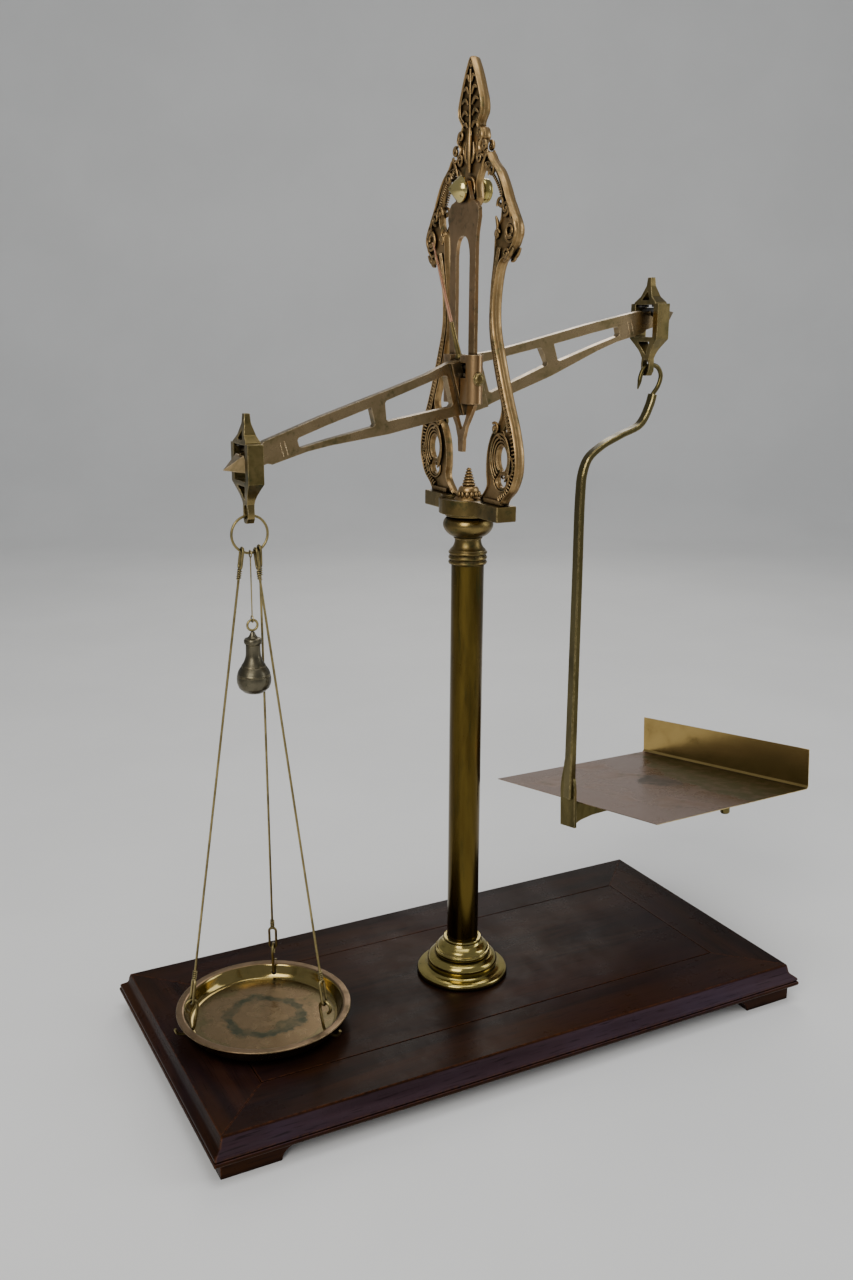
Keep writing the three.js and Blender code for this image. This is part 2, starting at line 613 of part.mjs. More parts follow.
function addPan() {
  const hangX = LEFT_END.x;
  const rim = PAN_BOTTOM + PAN_DEPTH;
  const pan = placed(new THREE.Vector3(hangX, 0, 0));
  const wall = PAN_WALL;
  const dish = turned([
    [0, PAN_BOTTOM], [55, PAN_BOTTOM], [58.4, 3.2], [59.8, 5.6], [62.2, rim - 1.7],
    [PAN_RADIUS, rim - 1.5], [PAN_RADIUS, rim], [61.6, rim], [60.2, rim - 1.4],
    [57.4, 6.4], [55.4, PAN_BOTTOM + wall + 0.4], [53, PAN_BOTTOM + wall],
    [0, PAN_BOTTOM + wall],
  ], 44);
  const holeHeight = PAN_BOTTOM + 7.3;
  const around = [['left', 182, -32], ['front', 302, 20], ['back', 62, 38]];
  const upright = new THREE.Vector3(0, 0, 1);
  const holes = around.map(([, azimuth]) => alongX(rod(2.2, 50, 66, 12))
    .translate(0, 0, holeHeight).rotateZ(THREE.MathUtils.degToRad(azimuth)));
  add('weights_pan', cut(dish, ...holes), BRASS(), pan);

  // Each S-hook has a loop for its stay above the rim and goes out through the wall below.
  const hookLine = [
    [60.2, 25.8], [62.4, 28.4], [62.5, 31.6], [60.4, 34.2], [57.4, 34.8], [54.4, 33.2],
    [53.2, 29.6], [54, 24], [55.4, 17], [56.6, 12], [58.6, 9.6], [61.6, 9.1], [66, 9],
    [69.6, 10.8], [71.2, 14.6],
  ].map(([out, z]) => new THREE.Vector3(out, 0, z));
  for (const [name, azimuth] of around) {
    const hook = wire(hookLine, HOOK_WIRE, 28, 6).rotateZ(THREE.MathUtils.degToRad(azimuth));
    add(`pan_hook_${name}`, hook, OLD_BRASS(), pan);
  }

  const ringCentre = LEFT_END.z - EYE_DROP - RING_RADIUS - 2.4;
  const suspension = placed(new THREE.Vector3(hangX, 0, ringCentre));
  const loop = ring(RING_RADIUS, RING_WIRE, 32, 6).rotateX(Math.PI / 2);
  add('hanging_ring', loop, BRASS(), suspension);

  // Each stay has a long eye round the ring and another in its S-hook's loop.
  for (const [name, azimuth, place] of around) {
    const lean = THREE.MathUtils.degToRad(place);
    const top = new THREE.Vector3(Math.sin(lean), 0, -Math.cos(lean))
      .multiplyScalar(RING_RADIUS - RING_WIRE - STAY_WIRE - GAP);
    const outward = new THREE.Vector3(1, 0, 0)
      .applyAxisAngle(upright, THREE.MathUtils.degToRad(azimuth));
    const low = outward.clone().multiplyScalar(57.6);
    low.z = 34.8 - HOOK_WIRE - STAY_WIRE - GAP - ringCentre;
    const up = top.clone().sub(low).normalize();
    const alongRing = new THREE.Vector3(0, 1, 0);
    const tangent = outward.clone().cross(upright);
    const topEye = eyeAlong(up, alongRing, 15).translate(
      top.x - 15 * up.x, top.y - 15 * up.y, top.z - 15 * up.z);
    const lowEye = eyeAlong(up, tangent, 19).translate(low.x, low.y, low.z);
    const from = low.clone().addScaledVector(up, 19);
    const to = top.clone().addScaledVector(up, -15);
    const shank = sweep(new THREE.LineCurve3(from, to), ngon(STAY_WIRE * 0.9, 6), 1);
    add(`stay_${name}`, unite(topEye, lowEye, shank), BRASS(), suspension);
  }
  addBob(hangX, ringCentre - RING_RADIUS);
}

// A bottle-shaped balance weight on a fine wire from the ring.
function addBob(x, ringBottom) {
  const bob = placed(new THREE.Vector3(x, 0, 0));
  add('bob', turned([
    [0, 266.4], [4, 266.7], [8.6, 268.6], [11.6, 272.4], [12.4, 277.4], [11.8, 281.6],
    [9.6, 286], [6.8, 290], [5.5, 294.4], [5.3, 303], [0, 303],
  ], 24), OLD_BRASS(), bob);
  add('bob_cap', turned([
    [0, 303 + GAP], [6, 303 + GAP], [6.4, 304.4], [6.4, 306.4], [5.4, 307.4], [3.4, 308.4],
    [2.2, 310.4], [1.4, 312], [0, 312],
  ], 18), OLD_BRASS(), bob);
  const eyeWire = 0.9;
  const eyeRadius = 3.8;
  const eyeCentre = 312 + GAP + eyeWire + eyeRadius;
  const eye = ring(eyeRadius, eyeWire, 18, 6).rotateX(Math.PI / 2).translate(0, 0, eyeCentre);
  add('bob_eye', eye, BRASS(), bob);
  const fine = 0.5;
  const loop = 2.4;
  const low = eyeCentre + eyeRadius - eyeWire - fine - GAP + loop;
  const high = ringBottom + RING_WIRE + fine + GAP - loop;
  const lowLoop = ring(loop, fine, 12, 5).rotateY(Math.PI / 2).translate(0, 0, low);
  const highLoop = ring(loop, fine, 12, 5).rotateY(Math.PI / 2).translate(0, 0, high);
  add('bob_wire', unite(lowLoop, highLoop, rod(fine, low + loop, high - loop, 6)), BRASS(), bob);
}

// ---- goods plate side ---------------------------------------------------------------

function addPlate() {
  const hang = RIGHT_END;
  const plate = placed(PLATE_CENTRE, PLATE_TURN);
  const fold = 3.4;
  const inner = fold - PLATE_SHEET;
  const edge = PLATE_DEPTH / 2;
  const section = new THREE.Shape();
  section.moveTo(-edge, 0);
  section.lineTo(edge - fold, 0);
  section.absarc(edge - fold, fold, fold, -Math.PI / 2, 0, false);
  section.lineTo(edge, UPSTAND);
  section.lineTo(edge - PLATE_SHEET, UPSTAND);
  section.absarc(edge - fold, fold, inner, 0, -Math.PI / 2, true);
  section.lineTo(-edge, PLATE_SHEET);
  add('goods_plate', plateXZ(section, PLATE_WIDTH, 5), BRASS(), plate);

  // A fork under the sheet carries it: two arms spread from the hanger's foot.
  const forkRoot = -edge + 0.7;
  const armLength = Math.hypot(FORK_REACH, FORK_SPREAD);
  const armTurn = Math.atan2(FORK_SPREAD, FORK_REACH);
  const profile = new THREE.Shape();
  profile.moveTo(0, -GAP);
  profile.lineTo(armLength, -GAP);
  profile.lineTo(armLength, -4);
  profile.lineTo(60, -4.6);
  profile.quadraticCurveTo(14, -7, 0, -22);
  const [frontArm, backArm] = [-1, 1].map((side) => plateXZ(profile, 4.4, 5)
    .rotateZ(side * armTurn).translate(forkRoot, 0, 0));
  const heel = box(3, 8, 21, -edge - 0.1, 0, -GAP - 10.5);
  add('plate_fork', unite(frontArm, backArm, heel), OLD_BRASS(), plate);
  for (const [name, side] of [['fork_stud_front', -1], ['fork_stud_back', 1]]) {
    const stud = turned([[0, -11], [3, -11], [4, -9.8], [4, -4.3], [0, -4.3]], 14);
    const along = (armLength - 5) / armLength;
    stud.translate(forkRoot + along * FORK_REACH, side * along * FORK_SPREAD, 0);
    add(name, stud, OLD_BRASS(), plate);
  }

  // The hanger hooks through the shackle's eye and drops to the plate's inner edge.
  const eyeZ = hang.z - EYE_DROP;
  const hook = [
    [-7.4, -14], [-6.4, -8.7], [-4, -3.4], [0, -0.7], [5, 0.2], [10.4, -1.8], [13.8, -7.8],
    [11.8, -16], [6.6, -23],
  ].map(([x, z]) => new THREE.Vector3(hang.x + x, 0, eyeZ + z));
  const foot = new THREE.Vector3(-edge - 3.4, 0, -13).applyEuler(PLATE_TURN).add(PLATE_CENTRE);
  const bar = [
    [hang.x + 6.6, eyeZ - 23], [hang.x + 3.8, eyeZ - 32], [158, 448], [139, 440],
    [121, 432], [109, 423], [104, 411], [102.6, 394],
  ].map(([x, z]) => new THREE.Vector3(x, 0, z));
  const drop = new THREE.Vector3(102.6, 0, 394);
  for (const part of [0.25, 0.5, 0.75, 0.94]) bar.push(drop.clone().lerp(foot, part));
  const hookCurve = new THREE.CatmullRomCurve3(hook, false, 'centripetal');
  const barCurve = new THREE.CatmullRomCurve3(bar, false, 'centripetal');
  const flat = polygon([[-2.2, -3.7], [2.2, -3.7], [2.2, 3.7], [-2.2, 3.7]]);
  const barSweep = sweep(barCurve, flat, 36);
  const shoe = box(3, 17, 51, 0, 0, 22.5).applyQuaternion(
    new THREE.Quaternion().setFromEuler(PLATE_TURN));
  const point = hook[0];
  const tipTurn = new THREE.Quaternion().setFromUnitVectors(
    new THREE.Vector3(0, 0, 1), point.clone().sub(hook[1]).normalize());
  const tip = turned([[0, 0], [1.7, 0], [0.4, 5], [0, 5.2]], 8).applyQuaternion(tipTurn)
    .translate(point.x, point.y, point.z);
  const hanger = unite(
    sweep(hookCurve, ngon(1.8, 8), 20), tip, barSweep, shoe.translate(foot.x, foot.y, foot.z));
  add('plate_hanger', hanger, OLD_BRASS());
}

addBase();
addFeet();
addColumn();
addYoke();
addFrame();
addPin();
addShears();
addBeam();
addShackle('left', LEFT_END);
addShackle('right', RIGHT_END);
addPan();
addPlate();

export default scale;
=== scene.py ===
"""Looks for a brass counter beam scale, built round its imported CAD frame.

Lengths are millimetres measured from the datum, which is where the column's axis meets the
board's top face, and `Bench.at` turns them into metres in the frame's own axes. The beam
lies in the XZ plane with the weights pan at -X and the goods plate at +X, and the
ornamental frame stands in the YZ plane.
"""

from __future__ import annotations

import logging
import math
from collections.abc import Callable, Iterable, Sequence
from dataclasses import dataclass
from enum import Enum

import bmesh
import bpy
from mathutils import Matrix, Vector

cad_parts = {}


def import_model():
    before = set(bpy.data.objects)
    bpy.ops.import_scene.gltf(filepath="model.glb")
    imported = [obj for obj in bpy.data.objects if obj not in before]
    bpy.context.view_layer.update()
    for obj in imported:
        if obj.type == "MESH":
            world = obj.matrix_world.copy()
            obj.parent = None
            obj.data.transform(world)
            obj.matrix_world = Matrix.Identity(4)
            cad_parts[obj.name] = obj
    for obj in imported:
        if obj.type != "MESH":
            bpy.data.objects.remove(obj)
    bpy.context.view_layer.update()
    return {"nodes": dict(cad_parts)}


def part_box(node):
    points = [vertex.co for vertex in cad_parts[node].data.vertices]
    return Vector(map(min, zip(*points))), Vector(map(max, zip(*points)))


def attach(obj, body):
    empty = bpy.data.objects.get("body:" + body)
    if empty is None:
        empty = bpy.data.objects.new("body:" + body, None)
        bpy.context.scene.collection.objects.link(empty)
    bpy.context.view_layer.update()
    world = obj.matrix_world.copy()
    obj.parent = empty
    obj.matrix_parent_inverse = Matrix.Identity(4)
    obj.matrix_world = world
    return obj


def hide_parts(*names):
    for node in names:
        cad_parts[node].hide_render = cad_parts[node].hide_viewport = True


LOG = logging.getLogger("counter_scale")
MM = 0.001
CREASE = 38.0  # degrees; an edge that turns by more stays sharp
FLAT = 0.6  # degrees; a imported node's faces that turn by less become one
ROUNDED = 28.0  # degrees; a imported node's edges that turn by more are rounded
TOUCHING = 1e-4  # points nearer than this, in millimetres, are one point
ON_AXIS = 1e-6  # a turned profile's radius below this makes a pole

Point2 = tuple[float, float]
Colour = tuple[float, float, float]
Socket, Tree, Node = bpy.types.NodeSocket, bpy.types.NodeTree, bpy.types.Node
Piece, Mesh, Material = bpy.types.Object, bpy.types.Mesh, bpy.types.Material


# ---- names ---------------------------------------------------------------------------


class Slot(Enum):
    """The record's material slots."""

    MAHOGANY = "mahogany"
    BRASS = "brass"
    BRONZE = "bronze"
    STEEL = "steel"
    COPPER = "copper"


class Body(Enum):
    """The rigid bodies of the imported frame."""

    STAND = "stand"
    SHEARS = "shears"
    BEAM = "beam"
    LEFT_SHACKLE = "left_shackle"
    RIGHT_SHACKLE = "right_shackle"
    PAN_HANGER = "pan_hanger"
    BOB = "bob"
    GOODS_HANGER = "goods_hanger"


class Grain(Enum):
    """Which way a board's grain runs."""

    ALONG = 0.0
    ACROSS = math.pi / 2


# ---- shader groups -------------------------------------------------------------------


class ShaderTree:
    """A small helper that adds nodes to one node tree and links them."""

    def __init__(self, tree: Tree) -> None:
        """Wraps a node tree.

        Args:
            tree: The material's or the group's node tree.
        """
        self.tree = tree

    def node(self, kind: str, **values: object) -> Node:
        """Adds a node.

        Args:
            kind: The node's type name.
            **values: Its properties, set by name.

        Returns:
            The new node.
        """
        made = self.tree.nodes.new(kind)
        for name, value in values.items():
            setattr(made, name, value)
        return made

    def link(self, source: Socket, target: Socket) -> None:
        """Links one socket to another."""
        self.tree.links.new(source, target)

    def noise(
        self, vector: Socket, scale: float, detail: float = 4.0,
        roughness: float = 0.55, distortion: float = 0.0,
    ) -> Socket:
        """Adds a noise texture.

        Args:
            vector: Where it reads its coordinates.
            scale: Its frequency, per metre.
            detail: How many octaves it has.
            roughness: How strong the finer octaves are.
            distortion: How much it swirls.

        Returns:
            Its factor output.
        """
        made = self.node("ShaderNodeTexNoise")
        for label, value in (("Scale", scale), ("Detail", detail), ("Roughness", roughness),
                             ("Distortion", distortion)):
            made.inputs[label].default_value = value
        self.link(vector, made.inputs["Vector"])
        return made.outputs["Fac"]

    def remap(
        self, value: Socket, low: float, high: float,
        to_low: float = 0.0, to_high: float = 1.0,
    ) -> Socket:
        """Maps a value smoothly from one range to another.

        Args:
            value: The value to map.
            low: Where the source range starts.
            high: Where the source range ends.
            to_low: What `low` becomes.
            to_high: What `high` becomes.

        Returns:
            The mapped value.
        """
        made = self.node("ShaderNodeMapRange", interpolation_type="SMOOTHSTEP")
        self.link(value, made.inputs["Value"])
        for label, edge in (("From Min", low), ("From Max", high), ("To Min", to_low),
                            ("To Max", to_high)):
            made.inputs[label].default_value = edge
        return made.outputs["Result"]

    def blend(
        self, mask: Socket, first: object, second: object,
    ) -> Socket:
        """Mixes two colours by a mask.

        Args:
            mask: How much of the second colour shows.
            first: A colour or a socket.
            second: A colour or a socket.

        Returns:
            The mixed colour.
        """
        made = self.node("ShaderNodeMix", data_type="RGBA")
        self.link(mask, made.inputs[0])
        for index, colour in ((6, first), (7, second)):
            if isinstance(colour, tuple):
                made.inputs[index].default_value = (*colour, 1.0)
            else:
                self.link(colour, made.inputs[index])
        return made.outputs[2]

    def math(self, operation: str, first: object, second: object) -> Socket:
        """Does arithmetic on two values.

        Args:
            operation: The Math node's operation.
            first: A number or a socket.
            second: A number or a socket.

        Returns:
            The result.
        """
        made = self.node("ShaderNodeMath", operation=operation)
        for socket, value in zip(made.inputs, (first, second)):
            if isinstance(value, (int, float)):
                socket.default_value = value
            else:
                self.link(value, socket)
        return made.outputs["Value"]

    def stretched(self, vector: Socket, factors: object) -> Socket:
        """Multiplies coordinates axis by axis.

        Args:
            vector: The coordinates.
            factors: Three numbers or a socket.

        Returns:
            The stretched coordinates.
        """
        made = self.node("ShaderNodeVectorMath", operation="MULTIPLY")
        self.link(vector, made.inputs[0])
        if isinstance(factors, tuple):
            made.inputs[1].default_value = factors
        else:
            self.link(factors, made.inputs[1])
        return made.outputs[0]

    def relief(
        self, height: Socket, strength: float, depth: float,
        shader: Node,
    ) -> None:
        """Gives a shader fine relief.

        Args:
            height: The height.
            strength: How much of it shows.
            depth: The height's scale, in metres.
            shader: The Principled shader.
        """
        bump = self.node("ShaderNodeBump")
        bump.inputs["Strength"].default_value = strength
        bump.inputs["Distance"].default_value = depth
        self.link(height, bump.inputs["Height"])
        self.link(bump.outputs["Normal"], shader.inputs["Normal"])


def new_group(
    name: str, inputs: Sequence[tuple[str, str, object]], outputs: Sequence[tuple[str, str]],
) -> tuple[ShaderTree, Node, Node]:
    """Starts a shader node group.

    Args:
        name: The group's name.
        inputs: Each input's name, socket type and default.
        outputs: Each output's name and socket type.

    Returns:
        The group's tree helper, its input node and its output node.
    """
    tree = bpy.data.node_groups.new(name, "ShaderNodeTree")
    for label, kind, default in inputs:
        socket = tree.interface.new_socket(label, in_out="INPUT", socket_type=kind)
        if default is not None:
            socket.default_value = default
    for label, kind in outputs:
        tree.interface.new_socket(label, in_out="OUTPUT", socket_type=kind)
    helper = ShaderTree(tree)
    return helper, helper.node("NodeGroupInput"), helper.node("NodeGroupOutput")


WORN_TURN = (0.995, 0.9)  # how far the softened normal leans where an edge starts and ends
HOLLOW_SHADE = (0.92, 0.38)  # how open a place is where the painted shade starts and is deepest
STAIN_SOFTNESS = 0.0022  # metres either side of a stain's edge
STAIN_WAVER = 0.006  # metres by which a stain's edge wanders
PORE_COLOUR = (0.003, 0.0015, 0.001)
# the colour of the wood's painted shade in seams and hollows
WOOD_SHADE_COLOUR = (0.004, 0.0022, 0.0018)
COLOUR = "NodeSocketColor"
NUMBER = "NodeSocketFloat"
VECTOR = "NodeSocketVector"


class SharedGroups:
    """The shader effects that more than one finish uses, each built once."""

    def __init__(self) -> None:
        """Builds the groups."""
        self.patina = self._patina()
        self.wear = self._wear_and_shade()
        self.scratches = self._scratches()
        self.grain = self._grain()

    @staticmethod
    def _patina() -> Tree:
        """Metal that has tarnished in soft patches, with a little verdigris between them.
        Stretched tall, as on the column's tube, the patches also make vertical streaks of
        painted reflection.

        Returns:
            The group, which puts out the metal's colour and a mask of its dull patches.
        """
        tree, given, result = new_group(
            "Patina",
            [("Vector", VECTOR, None), ("Scale", NUMBER, 40.0),
             ("Bright", COLOUR, (0.6, 0.45, 0.2, 1.0)), ("Dull", COLOUR, (0.2, 0.14, 0.06, 1.0)),
             ("Verdigris", COLOUR, (0.12, 0.16, 0.07, 1.0)), ("Tarnish", NUMBER, 0.5)],
            [("Colour", COLOUR), ("Dullness", NUMBER)])
        scaled = tree.node("ShaderNodeVectorMath", operation="SCALE")
        tree.link(given.outputs["Vector"], scaled.inputs[0])
        tree.link(given.outputs["Scale"], scaled.inputs["Scale"])
        clouds = tree.noise(scaled.outputs[0], 1.0, 6.0, 0.6, 0.4)
        specks = tree.noise(scaled.outputs[0], 3.7, 5.0, 0.7)
        lifted = tree.math("ADD", clouds, given.outputs["Tarnish"])
        dullness = tree.remap(lifted, 0.78, 1.22)
        green = tree.remap(tree.math("MULTIPLY", specks, lifted), 0.52, 0.78)
        metal = tree.blend(dullness, given.outputs["Bright"], given.outputs["Dull"])
        colour = tree.blend(green, metal, given.outputs["Verdigris"])
        tree.link(colour, result.inputs["Colour"])
        tree.link(dullness, result.inputs["Dullness"])
        return tree.tree

    @staticmethod
    def _wear_and_shade() -> Tree:
        """Rubbed high edges, and painted shade in the hollows.

        Returns:
            The group, which puts out a mask of the edges and one of the painted shade in the
            hollows.
        """
        tree, given, result = new_group(
            "Edges and hollows",
            [("Vector", VECTOR, None), ("Reach", NUMBER, 0.004), ("Width", NUMBER, 0.001)],
            [("Edge", NUMBER), ("Hollow", NUMBER)])
        shape = tree.node("ShaderNodeNewGeometry")
        rounded = tree.node("ShaderNodeBevel", samples=4)
        tree.link(given.outputs["Width"], rounded.inputs["Radius"])
        turn = tree.node("ShaderNodeVectorMath", operation="DOT_PRODUCT")
        tree.link(rounded.outputs["Normal"], turn.inputs[0])
        tree.link(shape.outputs["Normal"], turn.inputs[1])
        rubbed = tree.remap(turn.outputs["Value"], *WORN_TURN)
        breakup = tree.remap(tree.noise(given.outputs["Vector"], 260.0, 5.0, 0.65), 0.35, 0.62)
        tree.link(tree.math("MULTIPLY", rubbed, breakup), result.inputs["Edge"])
        # Ambient occlusion gives the hollow mask, which the finishes use as painted shade.
        shade = tree.node("ShaderNodeAmbientOcclusion", samples=8)
        tree.link(given.outputs["Reach"], shade.inputs["Distance"])
        tree.link(tree.remap(shade.outputs["AO"], *HOLLOW_SHADE), result.inputs["Hollow"])
        return tree.tree

    @staticmethod
    def _scratches() -> Tree:
        """Fine wiping marks and small dents.

        Returns:
            The group, which puts out a height.
        """
        tree, given, result = new_group(
            "Wiping marks",
            [("Vector", VECTOR, None), ("Stretch", VECTOR, (1.0, 1.0, 0.06))],
            [("Height", NUMBER)])
        wiped = tree.stretched(given.outputs["Vector"], given.outputs["Stretch"])
        lines = tree.noise(wiped, 2600.0, 2.0, 0.5)
        dents = tree.noise(given.outputs["Vector"], 130.0, 3.0, 0.5)
        height = tree.math("ADD", tree.math("MULTIPLY", lines, 0.25), dents)
        tree.link(height, result.inputs["Height"])
        return tree.tree

    @staticmethod
    def _grain() -> Tree:
        """Mahogany figure: long soft bands with short dark pores along the grain.

        Returns:
            The group, which puts out a band mask and a pore mask.
        """
        tree, given, result = new_group(
            "Mahogany figure",
            [("Vector", VECTOR, None), ("Turn", NUMBER, 0.0)],
            [("Bands", NUMBER), ("Pores", NUMBER)])
        turned = tree.node("ShaderNodeVectorRotate", rotation_type="Z_AXIS")
        tree.link(given.outputs["Vector"], turned.inputs["Vector"])
        tree.link(given.outputs["Turn"], turned.inputs["Angle"])
        long_bands = tree.stretched(turned.outputs[0], (2.2, 26.0, 26.0))
        short_lines = tree.stretched(turned.outputs[0], (45.0, 900.0, 900.0))
        bands = tree.noise(long_bands, 1.0, 6.0, 0.6, 1.2)
        pores = tree.noise(short_lines, 1.0, 2.0, 0.5)
        tree.link(tree.remap(bands, 0.3, 0.7), result.inputs["Bands"])
        tree.link(tree.remap(pores, 0.56, 0.7), result.inputs["Pores"])
        return tree.tree


# ---- finishes ------------------------------------------------------------------------


def start_material(name: str) -> tuple[Material, ShaderTree, Node]:
    """Makes an empty material with one Principled shader.

    Args:
        name: The material's name.

    Returns:
        The material, its tree helper and its shader node.
    """
    made = bpy.data.materials.new(name)
    made.use_nodes = True
    tree = ShaderTree(made.node_tree)
    return made, tree, made.node_tree.nodes["Principled BSDF"]


def set_group(tree: ShaderTree, group: Tree, **values: object) -> Node:
    """Places a shared group in a material.

    Args:
        tree: The material's tree helper.
        group: The group to place.
        **values: Its inputs' values, by name.

    Returns:
        The group node.
    """
    placed = tree.node("ShaderNodeGroup", node_tree=group)
    for name, value in values.items():
        placed.inputs[name].default_value = value
    return placed


@dataclass(frozen=True)
class Stain:
    """A dark ring or patch on a flat piece, drawn about a centre.

    The ring lies between its two radii; an inner radius of zero fills it.
    """

    centre: Vector
    inner: float
    outer: float
    colour: Colour
    squeeze: float = 1.0
    strength: float = 1.0


@dataclass(frozen=True)
class MetalFinish:
    """Old brass, bronze, copper or steel."""

    name: str
    bright: Colour
    dull: Colour
    verdigris: Colour
    edge: Colour
    # the colour that the painted shade in the hollows darkens towards
    hollow: Colour = (0.012, 0.009, 0.005)
    tarnish: float = 0.5
    patch_scale: float = 45.0
    polish: float = 0.2
    tarnished_roughness: float = 0.42
    stretch: tuple[float, float, float] = (1.0, 1.0, 1.0)
    brushing: tuple[float, float, float] = (1.0, 1.0, 0.05)
    relief: float = 0.12
    reach: float = 0.004
    stains: tuple[Stain, ...] = ()

    def material(self, groups: SharedGroups) -> Material:
        """Builds the finish.

        Args:
            groups: The shared shader groups.

        Returns:
            The material.
        """
        made, tree, shader = start_material(self.name)
        place = tree.node("ShaderNodeTexCoord").outputs["Object"]
        mapping = tree.node("ShaderNodeMapping")
        mapping.inputs["Scale"].default_value = self.stretch
        tree.link(place, mapping.inputs["Vector"])
        patina = set_group(
            tree, groups.patina, Scale=self.patch_scale, Bright=(*self.bright, 1.0),
            Dull=(*self.dull, 1.0), Verdigris=(*self.verdigris, 1.0), Tarnish=self.tarnish)
        tree.link(mapping.outputs["Vector"], patina.inputs["Vector"])
        wear = set_group(tree, groups.wear, Reach=self.reach)
        tree.link(place, wear.inputs["Vector"])
        marks = set_group(tree, groups.scratches, Stretch=self.brushing)
        tree.link(place, marks.inputs["Vector"])
        colour = tree.blend(wear.outputs["Edge"], patina.outputs["Colour"], self.edge)
        dullness = patina.outputs["Dullness"]
        for stain in self.stains:
            mask = self._stain_mask(tree, place, stain)
            colour = tree.blend(mask, colour, stain.colour)
            dullness = tree.math("MAXIMUM", dullness, mask)
        # Painted shade: ambient occlusion darkens the hollows towards the hollow colour.
        colour = tree.blend(wear.outputs["Hollow"], colour, self.hollow)
        tree.link(colour, shader.inputs["Base Color"])
        roughness = tree.remap(dullness, 0.0, 1.0, self.polish, self.tarnished_roughness)
        hollow_roughness = tree.math("MULTIPLY", wear.outputs["Hollow"], 0.35)
        tree.link(tree.math("ADD", roughness, hollow_roughness), shader.inputs["Roughness"])
        shader.inputs["Metallic"].default_value = 1.0
        tree.relief(marks.outputs["Height"], self.relief, 0.0004, shader)
        return made

    @staticmethod
    def _stain_mask(
        tree: ShaderTree, place: Socket, stain: Stain,
    ) -> Socket:
        """Draws one stain.

        Args:
            tree: The material's tree helper.
            place: Object coordinates.
            stain: What to draw.

        Returns:
            The stain's mask.
        """
        centred = tree.node("ShaderNodeMapping")
        centred.inputs["Location"].default_value = -stain.centre
        tree.link(place, centred.inputs["Vector"])
        squeezed = tree.stretched(centred.outputs["Vector"], (1.0, stain.squeeze, 0.0))
        length = tree.node("ShaderNodeVectorMath", operation="LENGTH")
        tree.link(squeezed, length.inputs[0])
        waver = tree.remap(tree.noise(place, 55.0, 5.0, 0.6), 0.2, 0.8,
                           -STAIN_WAVER, STAIN_WAVER)
        ragged = tree.math("ADD", length.outputs["Value"], waver)
        soft = STAIN_SOFTNESS
        inside = tree.remap(ragged, stain.outer * MM + soft, stain.outer * MM - soft)
        if stain.inner > 0:
            beyond = tree.remap(ragged, stain.inner * MM - soft, stain.inner * MM + soft)
            inside = tree.math("MULTIPLY", inside, beyond)
        worn = tree.remap(tree.noise(place, 90.0, 4.0, 0.6), 0.3, 0.62, 0.55, 1.0)
        return tree.math("MULTIPLY", tree.math("MULTIPLY", inside, worn), stain.strength)


@dataclass(frozen=True)
class MahoganyFinish:
    """Dark French-polished mahogany, rubbed lighter along its edges."""

    name: str
    grain: Grain
    dark: Colour = (0.0085, 0.0036, 0.002)
    warm: Colour = (0.032, 0.0115, 0.0042)
    edge: Colour = (0.11, 0.034, 0.01)
    # a cloudy tint; the moulding's violet tint is a painted sheen of reflected sky
    cloud_and_sheen: Colour = (0.02, 0.011, 0.018)

    def material(self, groups: SharedGroups) -> Material:
        """Builds the finish.

        Args:
            groups: The shared shader groups.

        Returns:
            The material.
        """
        made, tree, shader = start_material(self.name)
        place = tree.node("ShaderNodeTexCoord").outputs["Object"]
        figure = set_group(tree, groups.grain, Turn=self.grain.value)
        tree.link(place, figure.inputs["Vector"])
        wear = set_group(tree, groups.wear, Reach=0.006, Width=0.0018)
        tree.link(place, wear.inputs["Vector"])
        colour = tree.blend(figure.outputs["Bands"], self.dark, self.warm)
        cloudy = tree.remap(tree.noise(place, 9.0, 4.0, 0.6), 0.42, 0.75, 0.0, 0.35)
        colour = tree.blend(cloudy, colour, self.cloud_and_sheen)
        pores = tree.math("MULTIPLY", figure.outputs["Pores"], 0.55)
        colour = tree.blend(pores, colour, PORE_COLOUR)
        rubbed = tree.math("MULTIPLY", wear.outputs["Edge"], 0.7)
        colour = tree.blend(rubbed, colour, self.edge)
        # Painted shade: ambient occlusion darkens the seams and hollows.
        colour = tree.blend(wear.outputs["Hollow"], colour, WOOD_SHADE_COLOUR)
        tree.link(colour, shader.inputs["Base Color"])
        smears = tree.noise(place, 24.0, 5.0, 0.65)
        tree.link(tree.remap(smears, 0.3, 0.7, 0.24, 0.4), shader.inputs["Roughness"])
        shader.inputs["Specular IOR Level"].default_value = 0.045
        height = tree.math("SUBTRACT", figure.outputs["Bands"], figure.outputs["Pores"])
        tree.relief(height, 0.06, 0.0002, shader)
        return made


# ---- shapes --------------------------------------------------------------------------

Run = Sequence[Sequence[float]]


